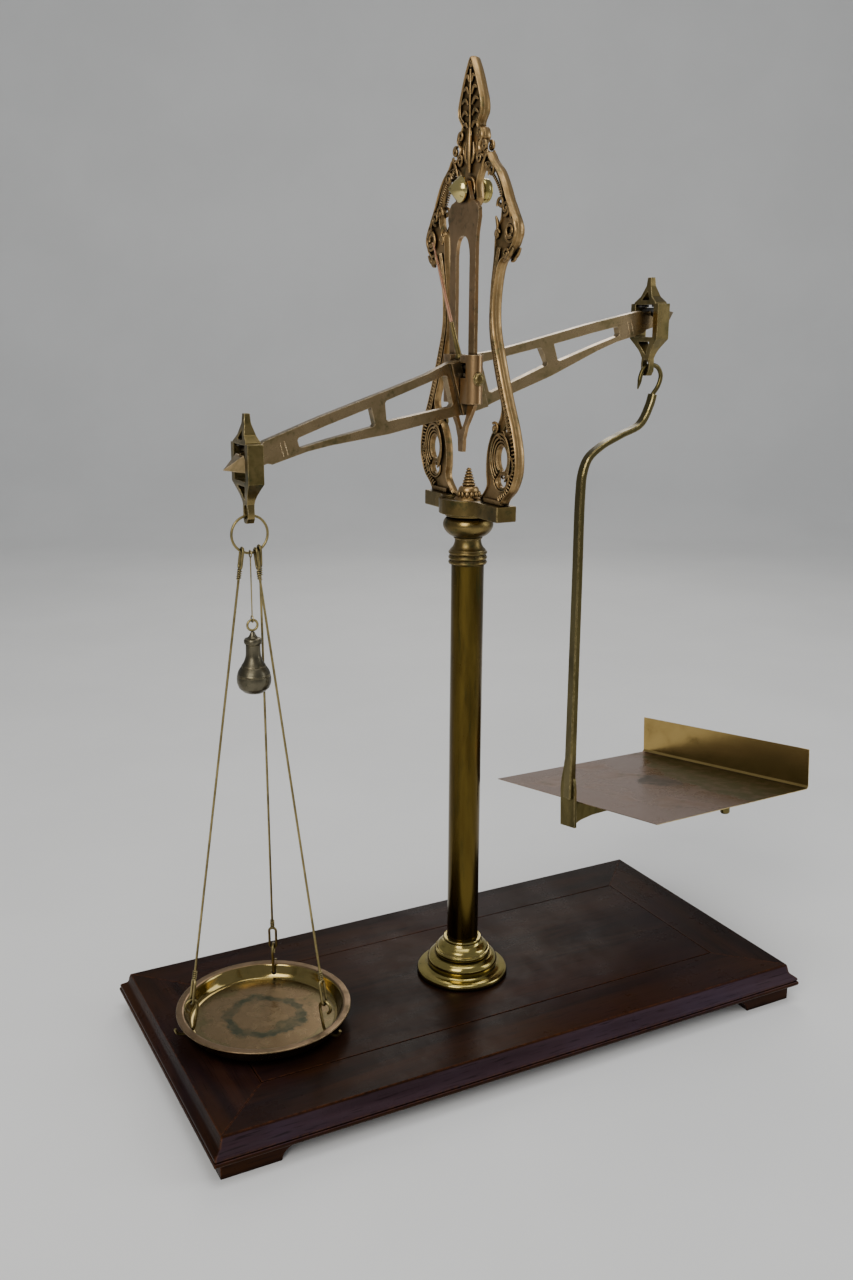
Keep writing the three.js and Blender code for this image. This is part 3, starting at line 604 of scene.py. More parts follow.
def flowing(points: Run, steps: int = 6, closed: bool = False) -> list[Vector]:
    """Runs a smooth line through points.

    Args:
        points: Points with two or three coordinates.
        steps: How many pieces each span is cut into.
        closed: Whether the line returns to its start.

    Returns:
        The line's points, without a repeated last point where it is closed.
    """
    knots = [Vector((*point, 0.0)[:3]) for point in points]
    if closed:
        knots = [knots[-1], *knots, knots[0], knots[1]]
    else:
        knots = [2 * knots[0] - knots[1], *knots, 2 * knots[-1] - knots[-2]]
    line: list[Vector] = []
    for index in range(1, len(knots) - 2):
        four = knots[index - 1:index + 3]
        times = [0.0]
        for first, second in zip(four, four[1:]):
            times.append(times[-1] + max((second - first).length, 1e-6) ** 0.5)
        for step in range(steps):
            now = times[1] + (times[2] - times[1]) * step / steps
            near = [four[i].lerp(four[i + 1], (now - times[i]) / (times[i + 1] - times[i]))
                    for i in range(3)]
            wide = [near[i].lerp(near[i + 1], (now - times[i]) / (times[i + 2] - times[i]))
                    for i in range(2)]
            line.append(wide[0].lerp(wide[1], step / steps))
    if not closed:
        line.append(knots[-2])
    return line


def mirrored(half: Sequence[Point2]) -> list[Point2]:
    """Adds the mirror image of a half outline, without repeating points on the middle line."""
    return [*half, *((-a, b) for a, b in reversed(half) if a > 0)]


def inset(outline: Sequence[Vector], distance: float) -> list[Vector]:
    """Moves a closed flat outline sideways.

    Args:
        outline: The outline's points in its own plane.
        distance: How far the line moves towards its inside.

    Returns:
        The moved points.
    """
    count = len(outline)
    area = sum(outline[i].x * outline[(i + 1) % count].y - outline[(i + 1) % count].x
               * outline[i].y for i in range(count))
    turn = 1.0 if area > 0 else -1.0
    moved = []
    for index, point in enumerate(outline):
        along = (outline[(index + 1) % count] - outline[index - 1]).normalized()
        moved.append(point + Vector((-along.y, along.x, 0.0)) * distance * turn)
    return moved


def oval(centre: Point2, half: Point2, count: int = 32) -> list[Vector]:
    """The points of an oval.

    Args:
        centre: Its centre.
        half: Its half width and half height.
        count: How many points it has.

    Returns:
        The points.
    """
    angles = (math.tau * i / count for i in range(count))
    return [Vector((centre[0] + half[0] * math.cos(a), centre[1] + half[1] * math.sin(a), 0.0))
            for a in angles]


def spiral(centre: Point2, radii: Point2, start: float, turns: float, count: int = 34,
           ) -> list[Vector]:
    """The points of a flat spiral.

    Args:
        centre: Its centre.
        radii: Its first and last radius.
        start: The angle of its first point, in degrees.
        turns: How many turns it makes; a negative number turns it clockwise.
        count: How many points it has.

    Returns:
        The points.
    """
    points = []
    for i in range(count):
        part = i / (count - 1)
        angle = math.radians(start) + math.tau * turns * part
        radius = radii[0] + (radii[1] - radii[0]) * part
        points.append(Vector((centre[0] + radius * math.cos(angle),
                              centre[1] + radius * math.sin(angle), 0.0)))
    return points


def round_section(radius: float, sides: int = 12, flatten: float = 1.0) -> list[Point2]:
    """A round or oval section for a swept bar."""
    return [(radius * math.cos(math.tau * i / sides),
             radius * flatten * math.sin(math.tau * i / sides)) for i in range(sides)]


def bar_section(width: float, depth: float, corner: float) -> list[Point2]:
    """A rectangular section with its corners taken off."""
    w, d = width / 2, depth / 2
    return [(w, -d + corner), (w, d - corner), (w - corner, d), (-w + corner, d),
            (-w, d - corner), (-w, -d + corner), (-w + corner, -d), (w - corner, -d)]


STANDING_YZ = Matrix(((0, 0, 1, 0), (1, 0, 0, 0), (0, 1, 0, 0), (0, 0, 0, 1)))
STANDING_XZ = Matrix(((1, 0, 0, 0), (0, 0, -1, 0), (0, 1, 0, 0), (0, 0, 0, 1)))
ALONG_X = Matrix.Rotation(math.pi / 2, 4, "Y")
X_WAY, Y_WAY, Z_WAY = Vector((1, 0, 0)), Vector((0, 1, 0)), Vector((0, 0, 1))


class Shape:
    """A mesh under construction, in millimetres."""

    def __init__(self) -> None:
        """Starts with nothing in it."""
        self.mesh = bmesh.new()

    def loft(self, rows: Sequence[Sequence[Vector]], matrix: Matrix, ring: bool) -> None:
        """Joins rows of points into a skin.

        Args:
            rows: The rows; one with a single point is a pole.
            matrix: Where the skin goes.
            ring: Whether the last row joins the first.
        """
        made = [[self.mesh.verts.new(matrix @ point) for point in row] for row in rows]
        pairs = list(zip(made, made[1:]))
        if ring:
            pairs.append((made[-1], made[0]))
        for first, second in pairs:
            count = max(len(first), len(second))
            for i in range(count if count > 1 else 0):
                j = (i + 1) % count
                corners = [first[i % len(first)], first[j % len(first)],
                           second[j % len(second)], second[i % len(second)]]
                self.mesh.faces.new(list(dict.fromkeys(corners)))
        if not ring:
            for row in (made[0], made[-1]):
                if len(row) > 2:
                    self.mesh.faces.new(row)

    def turn(self, *runs: Run, segments: int = 64, matrix: Matrix = Matrix(), steps: int = 5,
             ) -> Shape:
        """Adds a turned piece.

        Args:
            *runs: The profile as runs of radius and height. A run with more than two
                points is smooth, and a corner lies between two runs.
            segments: How many sides it has.
            matrix: Where it goes; its axis is Z before that.
            steps: How finely the smooth runs are cut.

        Returns:
            The shape.
        """
        profile: list[Vector] = []
        for run in runs:
            line = flowing(run, steps) if len(run) > 2 else [Vector((*p, 0.0)) for p in run]
            if profile and (profile[-1] - line[0]).length < TOUCHING:
                line = line[1:]
            profile += line
        ring = max(abs(profile[0].x), abs(profile[-1].x)) >= ON_AXIS
        if ring and (profile[0] - profile[-1]).length < TOUCHING:
            profile.pop()
        rows = []
        for radius, height, _ in profile:
            if abs(radius) < ON_AXIS:
                rows.append([Vector((0.0, 0.0, height))])
                continue
            rows.append([Vector((radius * math.cos(math.tau * i / segments),
                                 radius * math.sin(math.tau * i / segments), height))
                         for i in range(segments)])
        self.loft(rows, matrix, ring)
        return self

    def sweep(self, points: Sequence[Vector], section: Sequence[Point2],
              up: Vector | None = None, closed: bool = False,
              sizes: Callable[[float], float] = lambda part: 1.0,
              matrix: Matrix = Matrix()) -> Shape:
        """Adds a section carried along a line.

        Args:
            points: The line.
            section: The section; its second coordinate lies along `up` where that is given.
            up: The direction that the section keeps to, or None to let it roll freely.
            closed: Whether the line returns to its start.
            sizes: The section's size at each part of the line, from 0 to 1.
            matrix: Where it goes.

        Returns:
            The shape.
        """
        count = len(points)
        rows = []
        lift = up.normalized() if up is not None else None
        for index, point in enumerate(points):
            after = points[(index + 1) % count] if closed else points[min(index + 1, count - 1)]
            before = points[index - 1] if closed else points[max(index - 1, 0)]
            along = (after - before).normalized()
            if lift is None:
                lift = along.orthogonal().normalized()
            side = lift.cross(along).normalized()
            over = along.cross(side).normalized()
            if up is None:
                lift = over
            size = sizes(index / max(count - 1, 1))
            rows.append([point + side * a * size + over * b * size for a, b in section])
        self.loft(rows, matrix, closed)
        return self

    def plate(self, outline: Sequence[Vector], holes: Sequence[Sequence[Vector]],
              thickness: float, bevel: float, matrix: Matrix = STANDING_YZ) -> Shape:
        """Adds a flat plate with holes and rounded edges.

        Args:
            outline: The outline in the plate's own plane.
            holes: The holes' outlines.
            thickness: The whole thickness.
            bevel: How far the edges are rounded.
            matrix: Where it goes; it lies in XY before that.

        Returns:
            The shape.
        """
        curve = bpy.data.curves.new("plate outline", "CURVE")
        curve.dimensions, curve.fill_mode = "2D", "BOTH"
        curve.extrude = thickness / 2 - bevel
        curve.bevel_depth, curve.bevel_resolution, curve.offset = bevel, 2, -bevel
        for loop in (outline, *holes):
            spline = curve.splines.new("POLY")
            spline.points.add(len(loop) - 1)
            for target, point in zip(spline.points, loop):
                target.co = (point.x, point.y, 0.0, 1.0)
            spline.use_cyclic_u = True
        return self.include(flattened(bpy.data.objects.new("plate outline", curve)), matrix)

    def include(self, mesh: Mesh, matrix: Matrix = Matrix()) -> Shape:
        """Adds a finished mesh and removes its data block."""
        known = set(self.mesh.verts)
        self.mesh.from_mesh(mesh)
        bpy.data.meshes.remove(mesh)
        added = [corner for corner in self.mesh.verts if corner not in known]
        bmesh.ops.transform(self.mesh, matrix=matrix, verts=added)
        return self

    def block(self, size: Sequence[float], centre: Sequence[float], ease: float) -> Shape:
        """Adds a rectangular block with eased edges.

        Args:
            size: Its three sizes.
            centre: Its centre.
            ease: How far its edges are rounded.

        Returns:
            The shape.
        """
        made = bmesh.new()
        bmesh.ops.create_cube(made, size=1.0)
        bmesh.ops.scale(made, vec=Vector(size), verts=made.verts)
        bmesh.ops.bevel(made, geom=made.edges[:], offset=ease, segments=2, affect="EDGES",
                        profile=0.5)
        bmesh.ops.translate(made, vec=Vector(centre), verts=made.verts)
        mesh = bpy.data.meshes.new("block")
        made.to_mesh(mesh)
        made.free()
        return self.include(mesh)

    def build(self, name: str, matrix: Matrix, crease: float = CREASE) -> Piece:
        """Makes the object.

        Args:
            name: The object's name.
            matrix: From the shape's millimetres to the frame's metres.
            crease: Edges that turn by more than this many degrees stay sharp.

        Returns:
            The object, with its place in its mesh.
        """
        bmesh.ops.remove_doubles(self.mesh, verts=self.mesh.verts, dist=TOUCHING)
        bmesh.ops.dissolve_degenerate(self.mesh, edges=self.mesh.edges, dist=1e-5)
        bmesh.ops.recalc_face_normals(self.mesh, faces=self.mesh.faces)
        bmesh.ops.transform(self.mesh, matrix=matrix, verts=self.mesh.verts)
        mesh = bpy.data.meshes.new(name)
        self.mesh.to_mesh(mesh)
        self.mesh.free()
        return shaded(name, mesh, crease)


def shaded(name: str, mesh: Mesh, crease: float = CREASE) -> Piece:
    """Links a smooth-shaded object whose sharp edges stay sharp.

    Args:
        name: The object's name.
        mesh: Its mesh.
        crease: Edges that turn by more than this many degrees stay sharp.

    Returns:
        The object.
    """
    mesh.shade_smooth()
    mesh.set_sharp_from_angle(angle=math.radians(crease))
    source = bpy.data.objects.new("shaded piece", mesh)
    weighted = source.modifiers.new("flat faces stay flat", "WEIGHTED_NORMAL")
    weighted.keep_sharp, weighted.weight = True, 60
    finished = flattened(source)
    bpy.data.meshes.remove(mesh)
    finished.name = name
    made = bpy.data.objects.new(name, finished)
    bpy.context.scene.collection.objects.link(made)
    return made


def flattened(source: Piece) -> Mesh:
    """Turns a curve, or an object with modifiers, into a plain mesh and removes the object.

    Args:
        source: An object that isn't linked yet.

    Returns:
        The mesh.
    """
    bpy.context.scene.collection.objects.link(source)
    bpy.context.view_layer.update()
    seen = source.evaluated_get(bpy.context.evaluated_depsgraph_get())
    mesh = bpy.data.meshes.new_from_object(seen)
    bpy.data.objects.remove(source)
    return mesh


def refined(name: str, node: Piece, ease: float, crease: float = CREASE,
            ) -> Piece:
    """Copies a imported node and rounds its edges.

    Args:
        name: The new object's name.
        node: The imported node.
        ease: How far its edges are rounded, in millimetres.
        crease: Edges that turn by more than this many degrees stay sharp.

    Returns:
        The object.
    """
    work = bmesh.new()
    work.from_mesh(node.data)
    bmesh.ops.remove_doubles(work, verts=work.verts, dist=1e-6)
    bmesh.ops.dissolve_limit(work, angle_limit=math.radians(FLAT), verts=work.verts,
                             edges=work.edges)
    mesh = bpy.data.meshes.new(name)
    work.to_mesh(mesh)
    work.free()
    source = bpy.data.objects.new(name, mesh)
    rounding = source.modifiers.new("eased edges", "BEVEL")
    rounding.width, rounding.segments = ease * MM, 2
    rounding.limit_method, rounding.angle_limit = "ANGLE", math.radians(ROUNDED)
    return shaded(name, flattened(source), crease)


# ---- rows of small repeats -----------------------------------------------------------


def row_tree() -> Tree:
    """Builds the tree that repeats a round bead along a line.

    Returns:
        The tree, whose named inputs are Line, Count, Size, Up and Finish.
    """
    tree = bpy.data.node_groups.new("Row of round beads", "GeometryNodeTree")
    for label, kind in (("Line", "Geometry"), ("Count", "Int"), ("Size", "Vector"),
                        ("Up", "Vector"), ("Finish", "Material")):
        tree.interface.new_socket(label, in_out="INPUT", socket_type=f"NodeSocket{kind}")
    tree.interface.new_socket("Row", in_out="OUTPUT", socket_type="NodeSocketGeometry")
    work = ShaderTree(tree)
    given, result = work.node("NodeGroupInput"), work.node("NodeGroupOutput")
    line = work.node("GeometryNodeMeshToCurve")
    spaced = work.node("GeometryNodeResampleCurve")
    tangent = work.node("GeometryNodeInputTangent")
    turn = work.node("FunctionNodeAxesToRotation", primary_axis="X", secondary_axis="Z")
    bead = work.node("GeometryNodeMeshUVSphere")
    for label, value in (("Segments", 10), ("Rings", 6), ("Radius", 0.5)):
        bead.inputs[label].default_value = value
    spread = work.node("GeometryNodeInstanceOnPoints")
    real = work.node("GeometryNodeRealizeInstances")
    painted = work.node("GeometryNodeSetMaterial")
    for source, target in (
        (given.outputs["Line"], line.inputs["Mesh"]),
        (line.outputs["Curve"], spaced.inputs["Curve"]),
        (given.outputs["Count"], spaced.inputs["Count"]),
        (spaced.outputs["Curve"], spread.inputs["Points"]),
        (bead.outputs["Mesh"], spread.inputs["Instance"]),
        (tangent.outputs["Tangent"], turn.inputs["Primary Axis"]),
        (given.outputs["Up"], turn.inputs["Secondary Axis"]),
        (turn.outputs["Rotation"], spread.inputs["Rotation"]),
        (given.outputs["Size"], spread.inputs["Scale"]),
        (spread.outputs["Instances"], real.inputs["Geometry"]),
        (real.outputs["Geometry"], painted.inputs["Geometry"]),
        (given.outputs["Finish"], painted.inputs["Material"]),
        (painted.outputs["Geometry"], result.inputs["Row"]),
    ):
        work.link(source, target)
    return tree


@dataclass
class Row:
    """One row of beads along a line, in metres of the frame."""

    line: Sequence[Vector]
    count: int
    size: Vector
    up: Vector
    closed: bool = False

    def mesh(self, tree: Tree, finish: Material) -> Mesh:
        """Runs the tree on this row.

        Args:
            tree: The row tree.
            finish: The beads' material.

        Returns:
            The row as a plain mesh.
        """
        base = bpy.data.meshes.new("row line")
        edges = [(i, i + 1) for i in range(len(self.line) - 1)]
        if self.closed:
            edges.append((len(self.line) - 1, 0))
        base.from_pydata([tuple(point) for point in self.line], edges, [])
        source = bpy.data.objects.new("row line", base)
        modifier = source.modifiers.new("row", "NODES")
        modifier.node_group = tree
        values = {"Count": self.count, "Size": self.size, "Up": self.up, "Finish": finish}
        for item in tree.interface.items_tree:
            if item.in_out == "INPUT" and item.name in values:
                value = values[item.name]
                modifier[item.identifier] = list(value) if isinstance(value, Vector) else value
        return flattened(source)


# ---- bench ---------------------------------------------------------------------------


class Look(Enum):
    """The finishes that the pieces wear."""

    WOOD_ALONG = "wood_along"
    WOOD_ACROSS = "wood_across"
    MOULDING_SHEEN = "moulding"
    CAST = "cast"
    TURNED = "turned"
    TUBE = "tube"
    CAPITAL = "capital"
    PALE = "pale"
    BEAM = "beam"
    SHEARS = "shears"
    SHACKLE = "shackle"
    WIRE = "wire"
    BOB = "bob"
    PAN = "pan"
    PAN_WALL = "pan_wall"
    PAN_LIP = "pan_lip"
    UPSTAND = "upstand"
    PLATE = "plate"
    HANGER = "hanger"
    STEEL = "steel"
    COPPER = "copper"


@dataclass
class Bench:
    """What every sub-assembly works with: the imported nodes, the datum and the finishes."""

    nodes: dict[str, Piece]
    datum: Vector
    finishes: dict[Look, Material]
    row_maker: Tree

    def at(self, x: float = 0.0, y: float = 0.0, z: float = 0.0,
           turn: Matrix = Matrix()) -> Matrix:
        """The matrix from a place on the scale, in millimetres, to the frame in metres.

        Args:
            x: From the column's axis.
            y: From the beam's middle plane.
            z: Above the board.
            turn: How the piece is turned about that place.

        Returns:
            The matrix.
        """
        place = Matrix.Translation(self.datum) @ Matrix.Scale(MM, 4)
        return place @ Matrix.Translation((x, y, z)) @ turn.to_4x4()

    def fit(self, piece: Piece, body: Body, slot: Slot, look: Look,
            *nodes: str) -> Piece:
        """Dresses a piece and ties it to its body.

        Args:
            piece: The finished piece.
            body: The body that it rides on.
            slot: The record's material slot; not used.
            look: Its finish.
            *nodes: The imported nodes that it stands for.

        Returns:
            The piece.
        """
        piece.data.materials.clear()
        piece.data.materials.append(self.finishes[look])
        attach(piece, body.value)
        if nodes:
            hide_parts(*nodes)
        LOG.info("%s: %d faces on %s", piece.name, len(piece.data.polygons), body.value)
        return piece

    def paint(self, piece: Piece, look: Look, place: Matrix,
              wanted: Callable[[Vector, Vector], bool]) -> None:
        """Gives some of a piece's faces another finish.

        Args:
            piece: The piece, which already has its first finish.
            look: The other finish.
            place: The piece's own frame.
            wanted: Says whether a face with this centre and outward direction gets it.
        """
        piece.data.materials.append(self.finishes[look])
        back, slot = place.inverted(), len(piece.data.materials) - 1
        turn = back.to_3x3()
        for face in piece.data.polygons:
            if wanted(back @ face.center, (turn @ face.normal).normalized()):
                face.material_index = slot

    def keep(self, look: Look, *nodes: str) -> None:
        """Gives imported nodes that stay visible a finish."""
        for name in nodes:
            node = self.nodes[name]
            for index in range(max(len(node.material_slots), 1)):
                if index >= len(node.material_slots):
                    node.data.materials.append(self.finishes[look])
                node.material_slots[index].link = "OBJECT"
                node.material_slots[index].material = self.finishes[look]
            LOG.info("%s keeps its packed shape", name)

    def soften(self, node: str, name: str, body: Body, slot: Slot, look: Look,
               ease: float) -> Piece:
        """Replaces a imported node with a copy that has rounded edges.

        Args:
            node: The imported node.
            name: The piece's name.
            body: The body that it rides on.
            slot: The record's material slot.
            look: Its finish.
            ease: How far its edges are rounded.

        Returns:
            The piece.
        """
        return self.fit(refined(name, self.nodes[node], ease), body, slot, look, node)

    def bead_rows(self, name: str, rows: Sequence[Row], body: Body, slot: Slot,
                  look: Look) -> Piece:
        """Makes one piece from several rows of beads.

        Args:
            name: The piece's name.
            rows: The rows.
            body: The body that it rides on.
            slot: The record's material slot.
            look: Its finish.

        Returns:
            The piece.
        """
        together = bmesh.new()
        for row in rows:
            mesh = row.mesh(self.row_maker, self.finishes[look])
            together.from_mesh(mesh)
            bpy.data.meshes.remove(mesh)
        mesh = bpy.data.meshes.new(name)
        together.to_mesh(mesh)
        together.free()
        return self.fit(shaded(name, mesh), body, slot, look)


# ---- base ----------------------------------------------------------------------------


@dataclass
class Base:
    """The mahogany board: a centre panel in a mitred moulded border, on bracket feet."""

    bench: Bench
    length: float = 500.0
    width: float = 237.0
    border: float = 45.0
    moulding: float = 8.0
    thickness: float = 18.0
    foot_height: float = 14.0
    foot_thickness: float = 16.0
    long_leg: float = 56.0
    short_leg: float = 46.0
    gap: float = 0.3

    def build(self) -> None:
        """Builds the board and its feet."""
        self._panel()
        for side, turn in (("back", 0), ("left", 90), ("front", 180), ("right", -90)):
            self._rail(side, math.radians(turn))
        for end, sx in (("left", 1), ("right", -1)):
            for side, sy in (("front", 1), ("back", -1)):
                self._foot(f"{side}_{end}", sx, sy)

    def _middle(self) -> float:
        """How far the board's middle lies from the column's axis, along X."""
        low, high = (Vector(corner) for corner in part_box("base_panel"))
        return ((low + high) / 2 - self.bench.datum).x / MM

    def _panel(self) -> None:
        """Builds the centre panel, with a narrow eased edge along its seam."""
        size = (self.length - 2 * self.border, self.width - 2 * self.border, self.thickness)
        shape = Shape().block(size, (0, 0, -self.thickness / 2), 0.7)
        piece = shape.build("board_centre_panel", self.bench.at(self._middle()))
        self.bench.fit(piece, Body.STAND,
                       Slot.MAHOGANY, Look.WOOD_ALONG, "base_panel")

    def _rail(self, side: str, turn: float) -> None:
        """Builds one mitred side of the border, with its ogee moulding.

        Args:
            side: Which side of the board it is.
            turn: Its turn about the vertical.
        """
        across_first = abs(math.sin(turn)) < 0.5
        panel = (self.length if across_first else self.width) - 2 * self.border
        reach = ((self.width if across_first else self.length) - 2 * self.border) / 2
        edge, out, depth = self.border, self.border + self.moulding, self.thickness
        profile = [(self.gap + 0.7, -depth), (self.gap, -depth + 0.7), (self.gap, -0.8),
                   (self.gap + 0.3, -0.25), (self.gap + 1.0, 0.0)]
        profile += [(edge - 0.6, 0.0), (edge - 0.1, -0.2), (edge + 0.2, -0.7)]
        profile += [(p.x, p.y) for p in flowing([
            (edge + 0.5, -1.6), (edge + 1.1, -3.6), (edge + 1.4, -5.6), (edge + 2.4, -8.0),
            (edge + 4.4, -9.6), (out - 2.0, -10.7), (out - 0.9, -11.8), (out - 0.7, -13.2)], 4)]
        profile += [(out - 1.4, -13.7), (out - 1.4, -14.3)]
        profile += [(p.x, p.y) for p in flowing([
            (out - 0.5, -14.5), (out, -15.4), (out, -16.8), (out - 0.8, -depth)], 4)]
        shape = Shape()
        rows = []
        for end in (-1, 1):
            rows.append([shape.mesh.verts.new((end * (panel / 2 + a - self.gap / 2), a, b))
                         for a, b in profile])
        count = len(profile)
        for i in range(count):
            j = (i + 1) % count
            shape.mesh.faces.new((rows[0][i], rows[0][j], rows[1][j], rows[1][i]))
        shape.mesh.faces.new(rows[0])
        shape.mesh.faces.new(rows[1])
        where = Matrix.Rotation(turn, 4, "Z") @ Matrix.Translation((0, reach, 0))
        place = self.bench.at(self._middle()) @ where
        piece = shape.build(f"board_edge_{side}", place, 30)
        look = Look.WOOD_ALONG if across_first else Look.WOOD_ACROSS
        self.bench.fit(piece, Body.STAND, Slot.MAHOGANY, look, f"base_rail_{side}")
        # The outward faces of the front and back mouldings get a painted violet sheen of
        # reflected sky.
        if across_first:
            self.bench.paint(piece, Look.MOULDING_SHEEN, place, lambda at, out: (
                at.y > edge + 0.5 and out.y > 0.35 and at.z > -self.thickness + 3.0))

    def _foot(self, name: str, sx: int, sy: int) -> None:
        """Builds one bracket foot from two legs with a hollow curve at each far end.

        Args:
            name: Which foot it is.
            sx: Which way its long leg points.
            sy: Which way its short leg points.
        """
        shape = Shape()
        thick, height = self.foot_thickness, self.foot_height
        for length, flip in ((self.long_leg, False), (self.short_leg, True)):
            curve = flowing([(length - 12, -height), (length - 10.6, -9.2), (length - 6.2, -5.2),
                             (length - 1.2, -3.6), (length, -1.6)], 5)
            start = thick if flip else 0.0
            outline = [Vector((start, 0.0, 0.0)), Vector((start, -height, 0.0)), *curve,
                       Vector((length, 0.0, 0.0))]
            lie = Matrix.Translation((0, thick / 2, 0)) @ STANDING_XZ
            if flip:
                lie = Matrix(((0, 1, 0, 0), (1, 0, 0, 0), (0, 0, 1, 0), (0, 0, 0, 1))) @ lie
            shape.plate(outline, (), thick, 0.6, Matrix.Diagonal((sx, sy, 1, 1)) @ lie)
        low, high = (Vector(c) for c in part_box(f"foot_{name}"))
        corner = Vector((low.x if sx > 0 else high.x, low.y if sy > 0 else high.y, high.z))
        place = Matrix.Translation(corner) @ Matrix.Scale(MM, 4)
        self.bench.fit(shape.build(f"bracket_foot_{name}", place), Body.STAND, Slot.MAHOGANY,
                       Look.WOOD_ALONG, f"foot_{name}")


# ---- column --------------------------------------------------------------------------


@dataclass
class Column:
    """The turned brass column between the board and the yoke."""

    bench: Bench
    radius: float = 12.7
    top: float = 347.0
    wall: float = 1.4
    socket: float = 4.3

    def build(self) -> None:
        """Builds the foot, the tube and the capital."""
        fit, at = self.bench.fit, self.bench.at
        bore = self.radius + 0.3
        foot = Shape().turn(
            [(bore, 8), (self.socket, 8)], [(self.socket, 8), (self.socket, 0.2)],
            [(self.socket, 0.2), (36, 0.2)],
            [(36, 0.2), (37.2, 1.0), (37.5, 2.6), (37.1, 4.2), (36, 5.2)],
            [(36, 5.2), (33.6, 5.7), (31.2, 6.2), (29.2, 7.2)], [(28.3, 7.2), (28.3, 8.2)],
            [(28.3, 8.2), (28.9, 10.2), (28.8, 12.8), (27.4, 15.2), (25.4, 16.4),
             (24.2, 16.8)],
            [(24.2, 16.8), (22.6, 17.0)],
            [(22.0, 17.3), (22.8, 18.4), (22.9, 20.2), (22.3, 21.8)],
            [(21.6, 21.9), (21.4, 22.4)],
            [(21.4, 22.4), (20.6, 24.4), (18.6, 26.4), (16.8, 27.8), (15.9, 29.4)],
            [(15.2, 29.6), (15.5, 30.6), (15.1, 31.7)], [(15.1, 31.7), (bore, 31.9)],
            segments=112).build("column_turned_foot", at(), 30)
        fit(foot, Body.STAND, Slot.BRASS, Look.TURNED, "column_foot")
        inner = self.radius - self.wall
        tube = Shape().turn(
            [(inner, 8.3), (self.radius, 8.3)], [(self.radius, 8.3), (self.radius, self.top)],
            [(self.radius, self.top), (inner, self.top)],
            segments=96).build("column_drawn_tube", at(), 30)
        fit(tube, Body.STAND, Slot.BRASS, Look.TUBE, "column_tube")
        start = self.top + 0.3
        rings: list[Run] = [[(self.socket, start), (14.4, start)]]
        for low, size in ((start, 2.6), (start + 3.5, 3.0), (start + 7.5, 2.7)):
            rings.append([(14.1, low), (14.8, low + size * 0.25), (14.95, low + size * 0.55),
                          (14.3, low + size * 0.95)])
            rings.append([(13.7, low + size + 0.1), (13.7, low + size + 0.6)])
        capital = Shape().turn(
            *rings, [(13.6, 358.4), (12.2, 359.8), (11.0, 361.8), (10.3, 364.2), (10.1, 366.6)],
            [(10.9, 366.9), (11.2, 367.6), (10.9, 368.2)],
            [(11.2, 368.3), (14.4, 369.8), (17.4, 372.6), (19.1, 376.0), (19.2, 379.2),
             (18.2, 381.6), (16.6, 383.0), (15.4, 383.6)], [(15.4, 383.6), (0, 383.6)],
            [(0, 377), (self.socket, 377)], [(self.socket, 377), (self.socket, start)],
            segments=96).build("column_capital", at(), 30)
        fit(capital, Body.STAND, Slot.BRONZE, Look.CAPITAL, "capital")
        self.bench.keep(Look.STEEL, "tie_rod", "rod_washer", "rod_nut")


